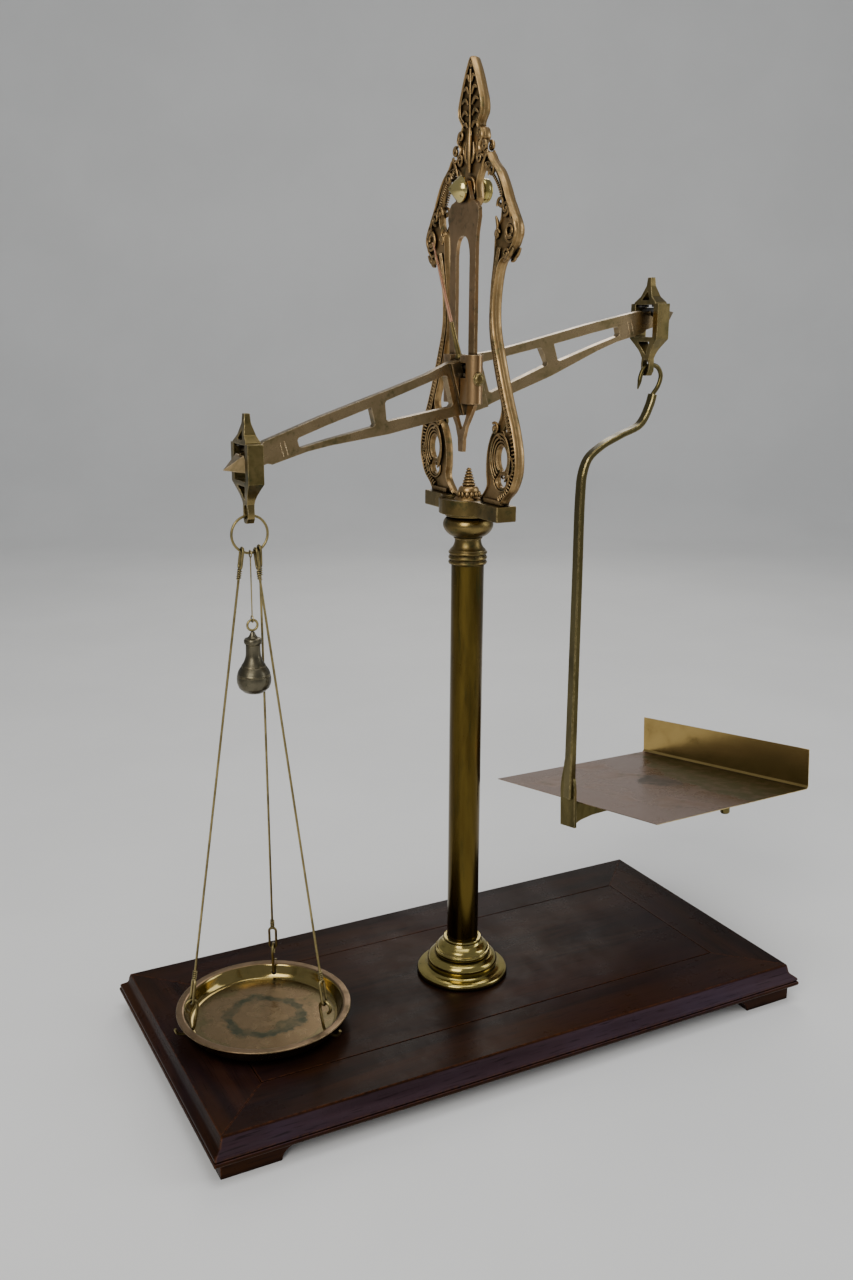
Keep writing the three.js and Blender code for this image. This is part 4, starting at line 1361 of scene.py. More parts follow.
@dataclass
class Yoke:
    """The drum on the column with its two lugs, which carry the frame's feet."""

    bench: Bench
    bottom: float = 384.0
    top: float = 398.0
    radius: float = 22.6
    lug_half_length: float = 56.0
    lug_half_width: float = 8.35
    lug_height: float = 11.4

    def build(self) -> None:
        """Builds the yoke and the finial that stands in its dish."""
        quarter = flowing([(self.radius, 0), (21.9, 5.6), (19.6, 11.4), (15.9, 16.1),
                           (12.2, 19.6), (9.6, 24.0), (8.5, 29.0)], 5)
        half = [(p.x, p.y) for p in quarter]
        half += [(self.lug_half_width, self.lug_half_length - 0.6),
                 (self.lug_half_width - 0.6, self.lug_half_length)]
        top_half = mirrored(half)
        outline = [Vector((a, b, 0)) for a, b in top_half]
        outline += [Vector((-a, -b, 0)) for a, b in top_half[1:-1]]
        middle = self.top - self.lug_height / 2
        shape = Shape().plate(outline, (oval((0, 0), (20.2, 20.2), 72),), self.lug_height, 0.7,
                              Matrix.Translation((0, 0, middle)))
        shape.turn([(0, self.bottom), (17.0, self.bottom)],
                   [(17.0, self.bottom), (17.9, 384.7), (18.1, 386.0)],
                   [(18.1, 386.0), (20.4, 387.2), (21.5, 389.0), (21.9, 391.0)],
                   [(21.9, 391.0), (21.0, 396.5)],
                   [(20.4, 396.2), (19.2, 395.4), (17.0, 395.1)], [(17.0, 395.1), (0, 395.0)],
                   segments=80)
        piece = shape.build("yoke_casting", self.bench.at(), 32)
        self.bench.fit(piece, Body.STAND, Slot.BRONZE, Look.CAPITAL, "yoke")
        hive: list[Run] = [[(0, 395.4), (10.6, 395.4)],
                           [(10.6, 395.4), (11.2, 396.4), (10.6, 397.8)],
                           [(10.6, 397.8), (8.9, 399.0), (7.9, 401.0)],
                           [(7.6, 401.2), (8.0, 403.2), (7.4, 405.4), (6.0, 406.8)]]
        radius, height = 5.0, 407.2
        for _ in range(6):
            hive.append([(radius - 0.7, height), (radius, height + 0.7), (radius, height + 1.4),
                         (radius - 0.8, height + 2.1)])
            radius, height = radius - 0.62, height + 2.2
        hive.append([(1.2, 420.3), (0.6, 420.7), (0, 420.8)])
        finial = Shape().turn(*hive, segments=56).build("yoke_beehive_finial", self.bench.at())
        self.bench.fit(finial, Body.STAND, Slot.BRONZE, Look.CAST, "yoke_finial")
        place = self.bench.at()
        ring = [place @ (p + Vector((0, 0, 400.4))) for p in oval((0, 0), (8.4, 8.4), 60)]
        leaves = Row(ring, 14, Vector((3.2, 2.2, 5.4)) * MM, Vector((0, 0, 1)), True)
        self.bench.bead_rows("yoke_finial_leaves", [leaves], Body.STAND,
                             Slot.BRONZE, Look.CAST)


# ---- ornamental frame ----------------------------------------------------------------


@dataclass
class LyreFrame:
    """The cast frame: a lyre of reeded stiles with scrolls, ears and a leaf finial."""

    bench: Bench
    thickness: float = 8.0
    web: float = 3.2
    ornament_rise: float = 3.0
    rope_rise: float = 2.6
    foot: float = 398.3
    pin_height: float = 618.5
    pin_radius: float = 3.3

    OUTER = ((30, 398.3), (52, 398.3), (57, 403), (66, 410), (72.5, 422), (73, 436), (68, 453),
             (58, 474), (47, 500), (38.5, 525), (39, 548), (45, 566), (54, 571), (63, 579),
             (65.5, 590), (59, 601), (53.5, 609), (49, 617), (41, 628), (31, 636), (26, 641.5),
             (21, 640), (15, 646), (19, 652), (17, 658), (12, 661), (17, 668), (17.5, 674),
             (13, 686), (6, 700), (0, 707))
    INNER = ((19, 399.2), (24, 403), (31, 411), (30, 420), (31, 436), (37, 449), (45, 456),
             (50, 467), (44, 482), (37, 500), (31, 522), (31.5, 548), (35.5, 572), (37.5, 590),
             (43.5, 596), (44, 612), (37.5, 625), (28, 633.2), (17, 632.4), (10.5, 623),
             (11.5, 612), (6, 606))

    # Each scroll's centre, its first and last radius, its start in degrees and its turns.
    SCROLLS = (
        ((57.0, 586.5), (8.4, 3.6), 100, -1.3), ((57.5, 587.5), (6.0, 4.6), 20, 0.8),
        ((52.5, 572.5), (4.6, 1.0), 250, 1.4), ((51.0, 602.5), (5.0, 1.0), 250, 1.4),
        ((42.5, 453.0), (1.0, 4.4), 20, 1.3), ((60.5, 428.0), (8.2, 7.6), 300, 0.34),
        ((20.4, 646.0), (3.4, 0.8), 120, -1.3), ((13.0, 655.2), (4.0, 0.8), 280, 1.4),
        ((14.0, 639.0), (4.2, 0.9), 40, 1.3), ((31.0, 628.5), (4.6, 1.0), 180, -1.2),
        ((44.5, 606.0), (4.6, 1.0), 200, -1.1), ((40.5, 586.0), (3.2, 0.8), 10, 1.2))
    # Each leaf's root, its middle and its tip.
    LEAVES = (
        ((24, 641), (19, 634), (16, 627)), ((38, 598), (41, 592), (39, 583)),
        ((52, 606), (57, 600), (58, 595)), ((62, 576), (57, 571), (50, 569)),
        ((3, 668), (7, 671), (12, 668.5)), ((2.5, 675), (7, 679), (12, 677)),
        ((2, 682), (5.6, 686.5), (9.4, 685)), ((1.6, 690), (3.6, 694), (6, 693)),
        ((3, 660), (6, 663), (10.5, 662)), ((3, 636), (6, 641), (5, 650)),
        ((52, 446), (47, 449), (43, 447)), ((60, 412), (63, 418), (61, 425)))

    def build(self) -> None:
        """Builds the casting and its raised ornament."""
        self._casting()
        self._ornament()
        self._rope_bands()
        self.bench.keep(Look.STEEL, "frame_screw_front", "frame_screw_back")

    def _side(self, points: Sequence[Point2], side: int) -> list[Vector]:
        """Puts flat points on one side of the frame's middle."""
        return [Vector((side * a, b, 0.0)) for a, b in points]

    def _casting(self) -> None:
        """Builds the pierced web and the rounded rims along its edges."""
        outer = flowing(mirrored(self.OUTER), 6, closed=True)
        outer = [Vector((p.x, max(p.y, self.foot), 0)) for p in outer]
        opening = flowing(mirrored(self.INNER), 6, closed=True)
        arch = [p for p in opening if p.y > self.foot + 1.2]
        lowest = min(range(len(arch)), key=lambda i: (arch[i].y, arch[i].x))
        arch = arch[lowest:] + arch[:lowest]
        holes = [arch]
        for side in (1, -1):
            holes += [oval((side * a, b), (c, d), 36)
                      for a, b, c, d in ((51, 432, 7.2, 9.2), (50.5, 416, 6.6, 4.6),
                                         (59.5, 589, 3.6, 6.4), (9, 646, 3.0, 5.0))]
            holes.append(self._side([(55.5, 446), (51, 452), (56.5, 458)], side))
        shape = Shape().plate(outer, holes, self.web, 0.8)
        rim = round_section(1.35, 12, self.thickness / 2 / 1.35)
        up = Z_WAY
        smooth_outer = [p for p in inset(outer, 1.4) if p.y > self.foot + 2.0]
        start = min(range(len(smooth_outer)), key=lambda i: smooth_outer[i].y
                    + (0 if smooth_outer[i].x > 0 else 900))
        run = smooth_outer[start:] + smooth_outer[:start]
        shape.sweep(run, rim, up, matrix=STANDING_YZ)
        lip = round_section(0.95, 10, 3.3)
        shape.sweep(inset(arch, -0.9)[1:-1], lip, up, matrix=STANDING_YZ)
        shape.turn([(self.pin_radius, -4), (9.0, -4)], [(9.0, -4), (9.5, -3.4)],
                   [(9.5, -3.4), (9.5, 3.4)], [(9.5, 3.4), (9.0, 4)],
                   [(9.0, 4), (self.pin_radius, 4)], segments=48,
                   matrix=Matrix.Translation((0, 0, self.pin_height)) @ ALONG_X)
        for side in (1, -1):
            shape.block((self.thickness, 24, 3.4), (0, side * 41, self.foot + 1.7), 0.5)
        piece = shape.build("lyre_casting", self.bench.at(), 42)
        self.bench.fit(piece, Body.STAND, Slot.BRONZE, Look.CAST, "lyre_frame")

    def _ornament(self) -> None:
        """Builds the reeds, scrolls, ears, leaves and the finial's relief on both faces."""
        shape = Shape()
        up = Z_WAY
        thin, wide, fine = (round_section(r, 8) for r in (0.75, 1.15, 0.55))

        def taper(part: float) -> float:
            """A leaf's swelling and pointed end."""
            return 0.25 + 0.95 * math.sin(math.pi * min(part * 0.85 + 0.12, 1.0))

        for face in (1, -1):
            lie = STANDING_YZ @ Matrix.Translation((0, 0, face * self.ornament_rise))
            for side in (1, -1):
                stile = [(62, 452), (55.5, 468), (46.5, 489), (40, 508), (35.6, 526),
                         (35.5, 546), (39, 563), (43, 577)]
                for shift, section in ((-1.9, fine), (-0.2, thin), (1.5, fine)):
                    shape.sweep(flowing([(side * (a + shift), b) for a, b in stile], 6),
                                section, up, matrix=lie)
                for (a, b), half, rise in (
                    ((51, 432), (8.2, 10.2), -1.3), ((51, 432), (10.0, 12.6), -0.6),
                    ((51, 432), (11.8, 15.2), 0.1), ((51, 432), (13.4, 18.0), 0.6),
                    ((50.5, 416), (7.6, 5.6), -1.3), ((50.5, 416), (9.4, 7.4), -0.6),
                ):
                    start = math.radians(-58 if b > 420 else 160)
                    sweep = math.radians(296 if b > 420 else 220)
                    line = [Vector((side * (a - half[0] * math.cos(start + sweep * i / 40)),
                                    b + half[1] * math.sin(start + sweep * i / 40),
                                    face * rise)) for i in range(41)]
                    line = [p for p in line if 33.0 < abs(p.x) < 66 and p.y > self.foot + 3]
                    shape.sweep(line, thin, up, matrix=lie)
                for centre, radii, start, turns in self.SCROLLS:
                    line = [Vector((side * p.x, p.y, 0))
                            for p in spiral(centre, radii, start, turns)]
                    shape.sweep(line, wide, up, matrix=lie)
                for leaf in self.LEAVES:
                    shape.sweep(flowing([(side * a, b) for a, b in leaf], 6), wide, up,
                                sizes=taper, matrix=lie)
            rim = flowing([(0, 703.5), (5.2, 697.5), (10.6, 686), (14.6, 674), (13.6, 668.6),
                           (9, 664)], 6)
            for side in (1, -1):
                shape.sweep([Vector((side * p.x, p.y, 0)) for p in rim], thin, up, matrix=lie)
            shape.sweep(flowing([(0, 660), (0.3, 676), (0, 698)], 8), wide, up, matrix=lie)
            shape.sweep(flowing([(0, 630), (0, 641), (0, 652), (0, 660)], 5), wide, up,
                        sizes=lambda part: 1.2 + math.sin(part * math.pi), matrix=lie)
            for a, b, radius in ((0, 656, 2.6), (0, 638, 2.2), (24, 641, 2.0), (-24, 641, 2.0),
                                 (57, 584, 1.9), (-57, 584, 1.9), (42.5, 453, 1.6),
                                 (-42.5, 453, 1.6), (0, 700.5, 1.5)):
                shape.turn([(0, -radius * 0.7), (radius, 0), (0, radius * 0.7)], segments=20,
                           matrix=lie @ Matrix.Translation((a, b, 0)), steps=6)
        piece = shape.build("lyre_raised_ornament", self.bench.at(), 60)
        self.bench.fit(piece, Body.STAND, Slot.BRONZE, Look.CAST)

    def _rope_bands(self) -> None:
        """Lays a row of slanted beads round each bulge and along each stile."""
        rows = []
        for face in (1, -1):
            for side in (1, -1):
                line = flowing([(side * a, b) for a, b in (
                    (50, 403), (60, 409.5), (66.8, 420), (68.4, 434), (64.6, 450), (56, 469),
                    (45.6, 493), (38.6, 514))], 10)
                lie = self.bench.at() @ STANDING_YZ @ Matrix.Translation(
                    (0, 0, face * self.rope_rise))
                rows.append(Row([lie @ p for p in line], 46, Vector((1.7, 5.0, 3.4)) * MM,
                                Vector((face, 0, 0))))
                arch = flowing([(side * a, b) for a, b in (
                    (45.6, 609), (39.4, 619), (31.4, 627), (22.5, 633.5))], 8)
                rows.append(Row([lie @ p for p in arch], 20, Vector((1.2, 2.8, 2.2)) * MM,
                                Vector((face, 0, 0))))
        self.bench.bead_rows("lyre_rope_bands", rows, Body.STAND, Slot.BRONZE,
                             Look.CAST)


# ---- pin, shears and beam ------------------------------------------------------------


@dataclass
class TopPin:
    """The pin through the frame that carries the shears, with its pointed brass knob."""

    bench: Bench
    height: float = 618.5
    radius: float = 3.0

    def build(self) -> None:
        """Builds the knob, its steel collar and the nut at the back."""
        place = self.bench.at(0, 0, self.height, ALONG_X)
        knob = Shape().turn(
            [(0, -20.5), (7.2, -12.7)], [(7.2, -12.7), (8.2, -11.6), (9, -10.9)],
            [(9, -10.9), (9, -9.8)], [(9, -9.8), (8.6, -9.4)],
            [(8.6, -9.4), (self.radius, -9.4)], [(self.radius, -9.4), (self.radius, 15)],
            [(self.radius, 15), (0, 15)], segments=64)
        self.bench.fit(knob.build("pin_pointed_knob", place, 24), Body.STAND, Slot.BRASS,
                       Look.PALE, "top_pin")
        hole = self.radius + 0.3
        nut = Shape().turn([(hole, 4.3), (7.6, 4.3)], [(8, 4.7), (8.6, 6.4), (8.6, 8.6)],
                           [(8.2, 8.9), (8.2, 9.4)], [(8.4, 9.6), (8.2, 11.6), (6.6, 12.9),
                                                      (5, 13.4)], [(5, 13.4), (hole, 13.4)],
                           segments=56)
        self.bench.fit(nut.build("pin_back_nut", place), Body.STAND, Slot.BRASS, Look.TURNED,
                       "pin_nut")
        collar = Shape().turn([(hole, -9.1), (6.9, -9.1)], [(7.2, -8.9), (7.2, -8.4)],
                              [(6.9, -8.2), (hole, -8.2)], segments=48)
        self.bench.fit(collar.build("pin_steel_collar", place), Body.STAND, Slot.STEEL,
                       Look.STEEL, "pin_collar")


@dataclass
class Shears:
    """The hanging plate whose two legs carry the bearing blocks."""

    bench: Bench
    x: float = -6.3
    block_face: float = 23.4
    screw_height: float = 487.0
    rosette: float = 3.3

    def build(self) -> None:
        """Builds the plate, the bearings and the screws with their rosettes."""
        self.bench.soften("shears", "shears_plate", Body.SHEARS, Slot.BRONZE, Look.SHEARS, 0.45)
        rosettes = []
        for side, name in ((-1, "front"), (1, "back")):
            self.bench.soften(f"bearing_steel_{name}", f"bearing_plane_{name}", Body.SHEARS,
                              Slot.STEEL, Look.STEEL, 0.25)
            turn = Matrix.Rotation(-side * math.pi / 2, 4, "X")
            place = self.bench.at(self.x, side * self.block_face, self.screw_height, turn)
            head = Shape().turn([(0, 0), (4.6, 0)], [(4.8, 0.2), (4.8, 0.7), (4.2, 1.1)],
                                [(3.9, 1.1), (3.2, 2.0), (2.0, 2.6), (0, 2.7)], segments=40)
            self.bench.fit(head.build(f"bearing_screw_head_{name}", place), Body.SHEARS,
                           Slot.BRONZE, Look.SHACKLE, f"bearing_screw_{name}")
            line = [place @ p for p in oval((0, 0), (self.rosette, self.rosette))]
            line = [p + Vector((0, side * 1.2 * MM, 0)) for p in line]
            rosettes.append(Row(line, 8, Vector((1.9, 2.0, 1.6)) * MM, Vector((0, side, 0)),
                                True))
        self.bench.bead_rows("bearing_rosettes", rosettes, Body.SHEARS, Slot.BRONZE,
                             Look.SHACKLE)


@dataclass
class Beam:
    """The pierced beam, its three knives and the pointer that stands on it."""

    bench: Bench
    x: float = -6.3
    height: float = 491.0
    tilt: float = math.radians(15.9)
    half_thickness: float = 3.5
    beadings: Sequence[Sequence[float]] = ((150.0, -4.4, -13.4), (153.4, -4.6, -13.6))

    def build(self) -> None:
        """Builds the beam and everything fixed to it."""
        soften = self.bench.soften
        soften("beam", "beam_bar", Body.BEAM, Slot.BRONZE, Look.BEAM, 0.7)
        for name in ("centre", "left", "right"):
            soften(f"knife_{name}", f"knife_edge_{name}", Body.BEAM, Slot.STEEL, Look.STEEL, 0.2)
        place = self.bench.at(self.x, 0, self.height, Matrix.Rotation(-self.tilt, 4, "Y"))
        stem = Shape().turn([(0, 10.8), (3.0, 10.8)], [(3.2, 11.0), (3.2, 12.2), (2.7, 13.0),
                            (2.1, 13.8)], [(2.1, 13.8), (1.6, 37.2)], [(1.5, 37.5), (0, 37.5)],
                            segments=32)
        self.bench.fit(stem.build("pointer_turned_stem", place), Body.BEAM, Slot.BRONZE,
                       Look.SHACKLE, "pointer_stem")
        needle = Shape().turn([(0, 37.8), (1.1, 37.8)], [(1.25, 38.0), (1.1, 66.0)],
                              [(1.1, 66.0), (0.5, 93.0)], [(0.5, 93.0), (0.3, 93.9), (0, 94.2)],
                              segments=24)
        self.bench.fit(needle.build("pointer_copper_needle", place), Body.BEAM, Slot.COPPER,
                       Look.COPPER, "pointer_needle")
        self._collars(place)

    def _collars(self, place: Matrix) -> None:
        """Adds the small upright rows of beads near the beam's ends.

        Args:
            place: The beam's own frame.
        """
        rows = []
        for end in (-1, 1):
            for x, top, bottom in self.beadings:
                for face in (-1, 1):
                    line = [place @ Vector((end * x, face * self.half_thickness, top)),
                            place @ Vector((end * x, face * self.half_thickness, bottom))]
                    rows.append(Row(line, 7, Vector((1.5, 1.1, 0.7)) * MM,
                                    Vector((0, face, 0))))
        self.bench.bead_rows("beam_end_beading", rows, Body.BEAM, Slot.BRONZE,
                             Look.BEAM)


@dataclass
class Shackles:
    """The two open boxes that hang on the end knives."""

    bench: Bench

    def build(self) -> None:
        """Builds both shackles with their steel bearings."""
        for end, body in (("left", Body.LEFT_SHACKLE), ("right", Body.RIGHT_SHACKLE)):
            self.bench.soften(f"shackle_{end}", f"shackle_casting_{end}", body, Slot.BRONZE,
                              Look.SHACKLE, 0.55)
            for side in ("front", "back"):
                self.bench.soften(f"shackle_steel_{end}_{side}", f"shackle_plane_{end}_{side}",
                                  body, Slot.STEEL, Look.STEEL, 0.2)


# ---- weights pan side ----------------------------------------------------------------


@dataclass
class PanSide:
    """The ring, the three stays, the dished pan and the balance bob."""

    bench: Bench
    x: float = -175.563
    knife_height: float = 442.783
    eye_drop: float = 44.6
    ring_radius: float = 13.3
    ring_wire: float = 0.95
    stay_wire: float = 1.0
    hook_wire: float = 1.15
    eye_width: float = 5.4
    top_eye: float = 15.0
    low_eye: float = 19.0
    hook_reach: float = 57.6
    hook_top: float = 34.8
    hook_hole: tuple[float, float, float] = (2.2, 50.0, 66.0)
    pan_crease: float = 34.0
    bob_eye: tuple[float, float] = (0.9, 3.8)
    fine_wire: tuple[float, float] = (0.5, 2.4)
    gap: float = 0.3

    AROUND = (("left", 182.0, -32.0), ("front", 302.0, 20.0), ("back", 62.0, 38.0))

    def build(self) -> None:
        """Builds the hanging ring, the stays, the hooks, the pan and the bob."""
        ring_height = self.knife_height - self.eye_drop - self.ring_radius - 2.4
        place = self.bench.at(self.x, 0, ring_height)
        ring = [STANDING_XZ @ p
                for p in oval((0, 0), (self.ring_radius, self.ring_radius), 96)]
        shape = Shape().sweep(ring, round_section(self.ring_wire, 12), Y_WAY, True)
        self.bench.fit(shape.build("hanging_wire_ring", place), Body.PAN_HANGER, Slot.BRASS,
                       Look.WIRE, "hanging_ring")
        for name, azimuth, lean in self.AROUND:
            self._stay(name, math.radians(azimuth), math.radians(lean), ring_height)
            self._hook(name, math.radians(azimuth))
        self._pan()
        self._bob(ring_height - self.ring_radius)

    def _stay(self, name: str, azimuth: float, lean: float, ring_height: float) -> None:
        """Builds one stay: a straight wire with a twisted long eye at each end.

        Args:
            name: Which stay it is.
            azimuth: Where its hook stands round the pan.
            lean: Where its upper eye sits on the ring, from the bottom.
            ring_height: The ring's centre.
        """
        wire = self.stay_wire
        top = Vector((math.sin(lean), 0, -math.cos(lean))) * (
            self.ring_radius - self.ring_wire - wire - self.gap)
        outward = Vector((math.cos(azimuth), math.sin(azimuth), 0))
        low = outward * self.hook_reach + Vector(
            (0, 0, self.hook_top - self.hook_wire - wire - self.gap - ring_height))
        up = (top - low).normalized()
        shape = Shape()
        section = round_section(wire, 12)
        tangent = outward.cross(Z_WAY)
        first, last = low + up * self.low_eye, top - up * self.top_eye
        for start, sideways, length in ((last, Y_WAY, self.top_eye),
                                        (low, tangent, self.low_eye)):
            normal = up.cross(sideways).normalized()
            width = normal.cross(up)
            loop = []
            for i in range(56):
                angle = math.tau * i / 56
                bulge = self.eye_width / 2 * math.cos(angle)
                rise = (length - self.eye_width) / 2 * (1 if math.sin(angle) >= 0 else -1)
                rise += self.eye_width / 2 * math.sin(angle) + length / 2
                loop.append(start + width * bulge + up * rise)
            shape.sweep(loop, section, normal, True)
        shape.sweep([first.lerp(last, i / 8) for i in range(9)], round_section(wire * 0.9, 12),
                    tangent)
        for centre, side in ((first, 1), (last, -1)):
            coil = []
            for i in range(72):
                angle = math.tau * 4.5 * i / 71
                around = tangent * math.cos(angle) + up.cross(tangent) * math.sin(angle)
                coil.append(centre + around * 1.25 + up * side * (0.4 + 7.0 * i / 71))
            shape.sweep(coil, round_section(0.55, 8))
        piece = shape.build(f"stay_wire_{name}", self.bench.at(self.x, 0, ring_height), 60)
        self.bench.fit(piece, Body.PAN_HANGER, Slot.BRASS, Look.WIRE, f"stay_{name}")

    def _hook(self, name: str, azimuth: float) -> None:
        """Builds one S-hook between a stay and the pan's wall.

        Args:
            name: Which hook it is.
            azimuth: Where it stands round the pan.
        """
        line = flowing([(out, 0.0, z) for out, z in (
            (60.2, 25.8), (62.4, 28.4), (62.5, 31.6), (60.4, 34.2), (57.4, 34.8), (54.4, 33.2),
            (53.2, 29.6), (54, 24), (55.4, 17), (56.6, 12), (58.6, 9.6), (61.6, 9.1), (66, 9),
            (69.6, 10.8), (71.2, 14.6))], 7)
        shape = Shape().sweep(line, round_section(self.hook_wire, 12), Y_WAY)
        place = self.bench.at(self.x, 0, 0, Matrix.Rotation(azimuth, 4, "Z"))
        self.bench.fit(shape.build(f"pan_wire_hook_{name}", place, 50), Body.PAN_HANGER,
                       Slot.BRONZE, Look.WIRE, f"pan_hook_{name}")

    def _pan(self) -> None:
        """Builds the dished pan with its flat rim and the holes for the hooks."""
        shape = Shape().turn(
            [(0, 2.0), (54.4, 2.0)], [(54.4, 2.0), (57.2, 2.5), (58.9, 4.0), (59.8, 6.2)],
            [(59.8, 6.2), (61.3, 10.4), (62.3, 13.4)], [(62.3, 13.7), (66.2, 13.9)],
            [(66.2, 13.9), (67.0, 14.3), (67.0, 15.1), (66.5, 15.5)],
            [(66.5, 15.5), (62.4, 15.5)], [(62.4, 15.5), (61.2, 15.1), (60.4, 14.2)],
            [(60.4, 14.2), (59.2, 10.8), (57.6, 7.0), (56.2, 5.4), (54.2, 4.8)],
            [(54.2, 4.8), (46.0, 4.82)], [(46.0, 4.82), (0, 4.8)], segments=128)
        place = self.bench.at(self.x)
        pan = shape.build("weights_dished_pan", place, self.pan_crease)
        bore, start, end = self.hook_hole
        holes = []
        for _, azimuth, _ in self.AROUND:
            turn = Matrix.Rotation(math.radians(azimuth), 4, "Z")
            drill = Shape().turn([(0, start), (bore, start)], [(bore, start), (bore, end)],
                                 [(bore, end), (0, end)], segments=24,
                                 matrix=turn @ Matrix.Translation((0, 0, 9.3)) @ ALONG_X)
            holes.append(drill.build("pan drill", place))
        for hole in holes:
            cut = pan.modifiers.new("drill", "BOOLEAN")
            cut.object, cut.solver = hole, "EXACT"
        bpy.context.view_layer.update()
        seen = pan.evaluated_get(bpy.context.evaluated_depsgraph_get())
        drilled = bpy.data.meshes.new_from_object(seen)
        for hole in (*holes, pan):
            bpy.data.objects.remove(hole)
        pan = shaded("weights_dished_pan", drilled, self.pan_crease)
        self.bench.fit(pan, Body.PAN_HANGER, Slot.BRASS, Look.PAN, "weights_pan")
        self.bench.paint(pan, Look.PAN_WALL, place, lambda at, out: (
            at.z > 4.9 and at.xy.length < 61.4 and at.xy.normalized().dot(out.xy) < -0.2))
        self.bench.paint(pan, Look.PAN_LIP, place, lambda at, out: (
            at.z > 13.3 and at.xy.length > 61.0))

    def _bob(self, ring_bottom: float) -> None:
        """Builds the balance bob, its cap, its eye and the fine wire with its two loops.

        Args:
            ring_bottom: The lowest point of the ring's centre line.
        """
        place = self.bench.at(self.x)
        body = Shape().turn(
            [(0, 266.4), (3.8, 266.6), (7.6, 267.9), (10.6, 270.6)],
            [(10.6, 270.6), (11.0, 271.0)],
            [(11.0, 271.0), (12.2, 274.4), (12.4, 277.4), (12.1, 280.0)],
            [(11.7, 280.2), (11.6, 280.9)], [(11.9, 281.1), (11.0, 283.6), (9.2, 286.4)],
            [(8.8, 286.6), (8.6, 287.2)],
            [(8.8, 287.4), (7.0, 290.2), (5.7, 294.0), (5.3, 298.0), (5.3, 302.6)],
            [(5.0, 303.0), (0, 303.0)], segments=72).build("bob_bottle_weight", place, 30)
        self.bench.fit(body, Body.BOB, Slot.BRONZE, Look.BOB, "bob")
        cap = Shape().turn(
            [(0, 303.3), (5.8, 303.3)],
            [(6.0, 303.4), (6.4, 304.4), (6.4, 306.2), (5.8, 307.2)],
            [(5.2, 307.3), (3.6, 308.2), (2.4, 309.8), (1.5, 311.8)],
            [(1.4, 312.0), (0, 312.0)], segments=48).build("bob_turned_cap", place)
        self.bench.fit(cap, Body.BOB, Slot.BRONZE, Look.BOB, "bob_cap")
        wire, radius = self.bob_eye
        centre = 312.0 + self.gap + wire + radius
        eye = [STANDING_XZ @ p for p in oval((0, centre), (radius, radius), 48)]
        shape = Shape().sweep(eye, round_section(wire, 10), Y_WAY, True)
        self.bench.fit(shape.build("bob_wire_eye", place), Body.BOB, Slot.BRASS, Look.WIRE,
                       "bob_eye")
        fine, loop = self.fine_wire
        low = centre + radius - wire - fine - self.gap + loop
        high = ring_bottom + self.ring_wire + fine + self.gap - loop
        shape = Shape()
        for middle in (low, high):
            line = [STANDING_YZ @ p for p in oval((0, middle), (loop, loop))]
            shape.sweep(line, round_section(fine, 8), X_WAY, True)
        shank = [Vector((0, 0, low + loop + (high - low - 2 * loop) * i / 6)) for i in range(7)]
        shape.sweep(shank, round_section(fine, 8), X_WAY)
        self.bench.fit(shape.build("bob_fine_wire", place), Body.BOB, Slot.BRASS, Look.WIRE,
                       "bob_wire")


# ---- goods plate side ----------------------------------------------------------------


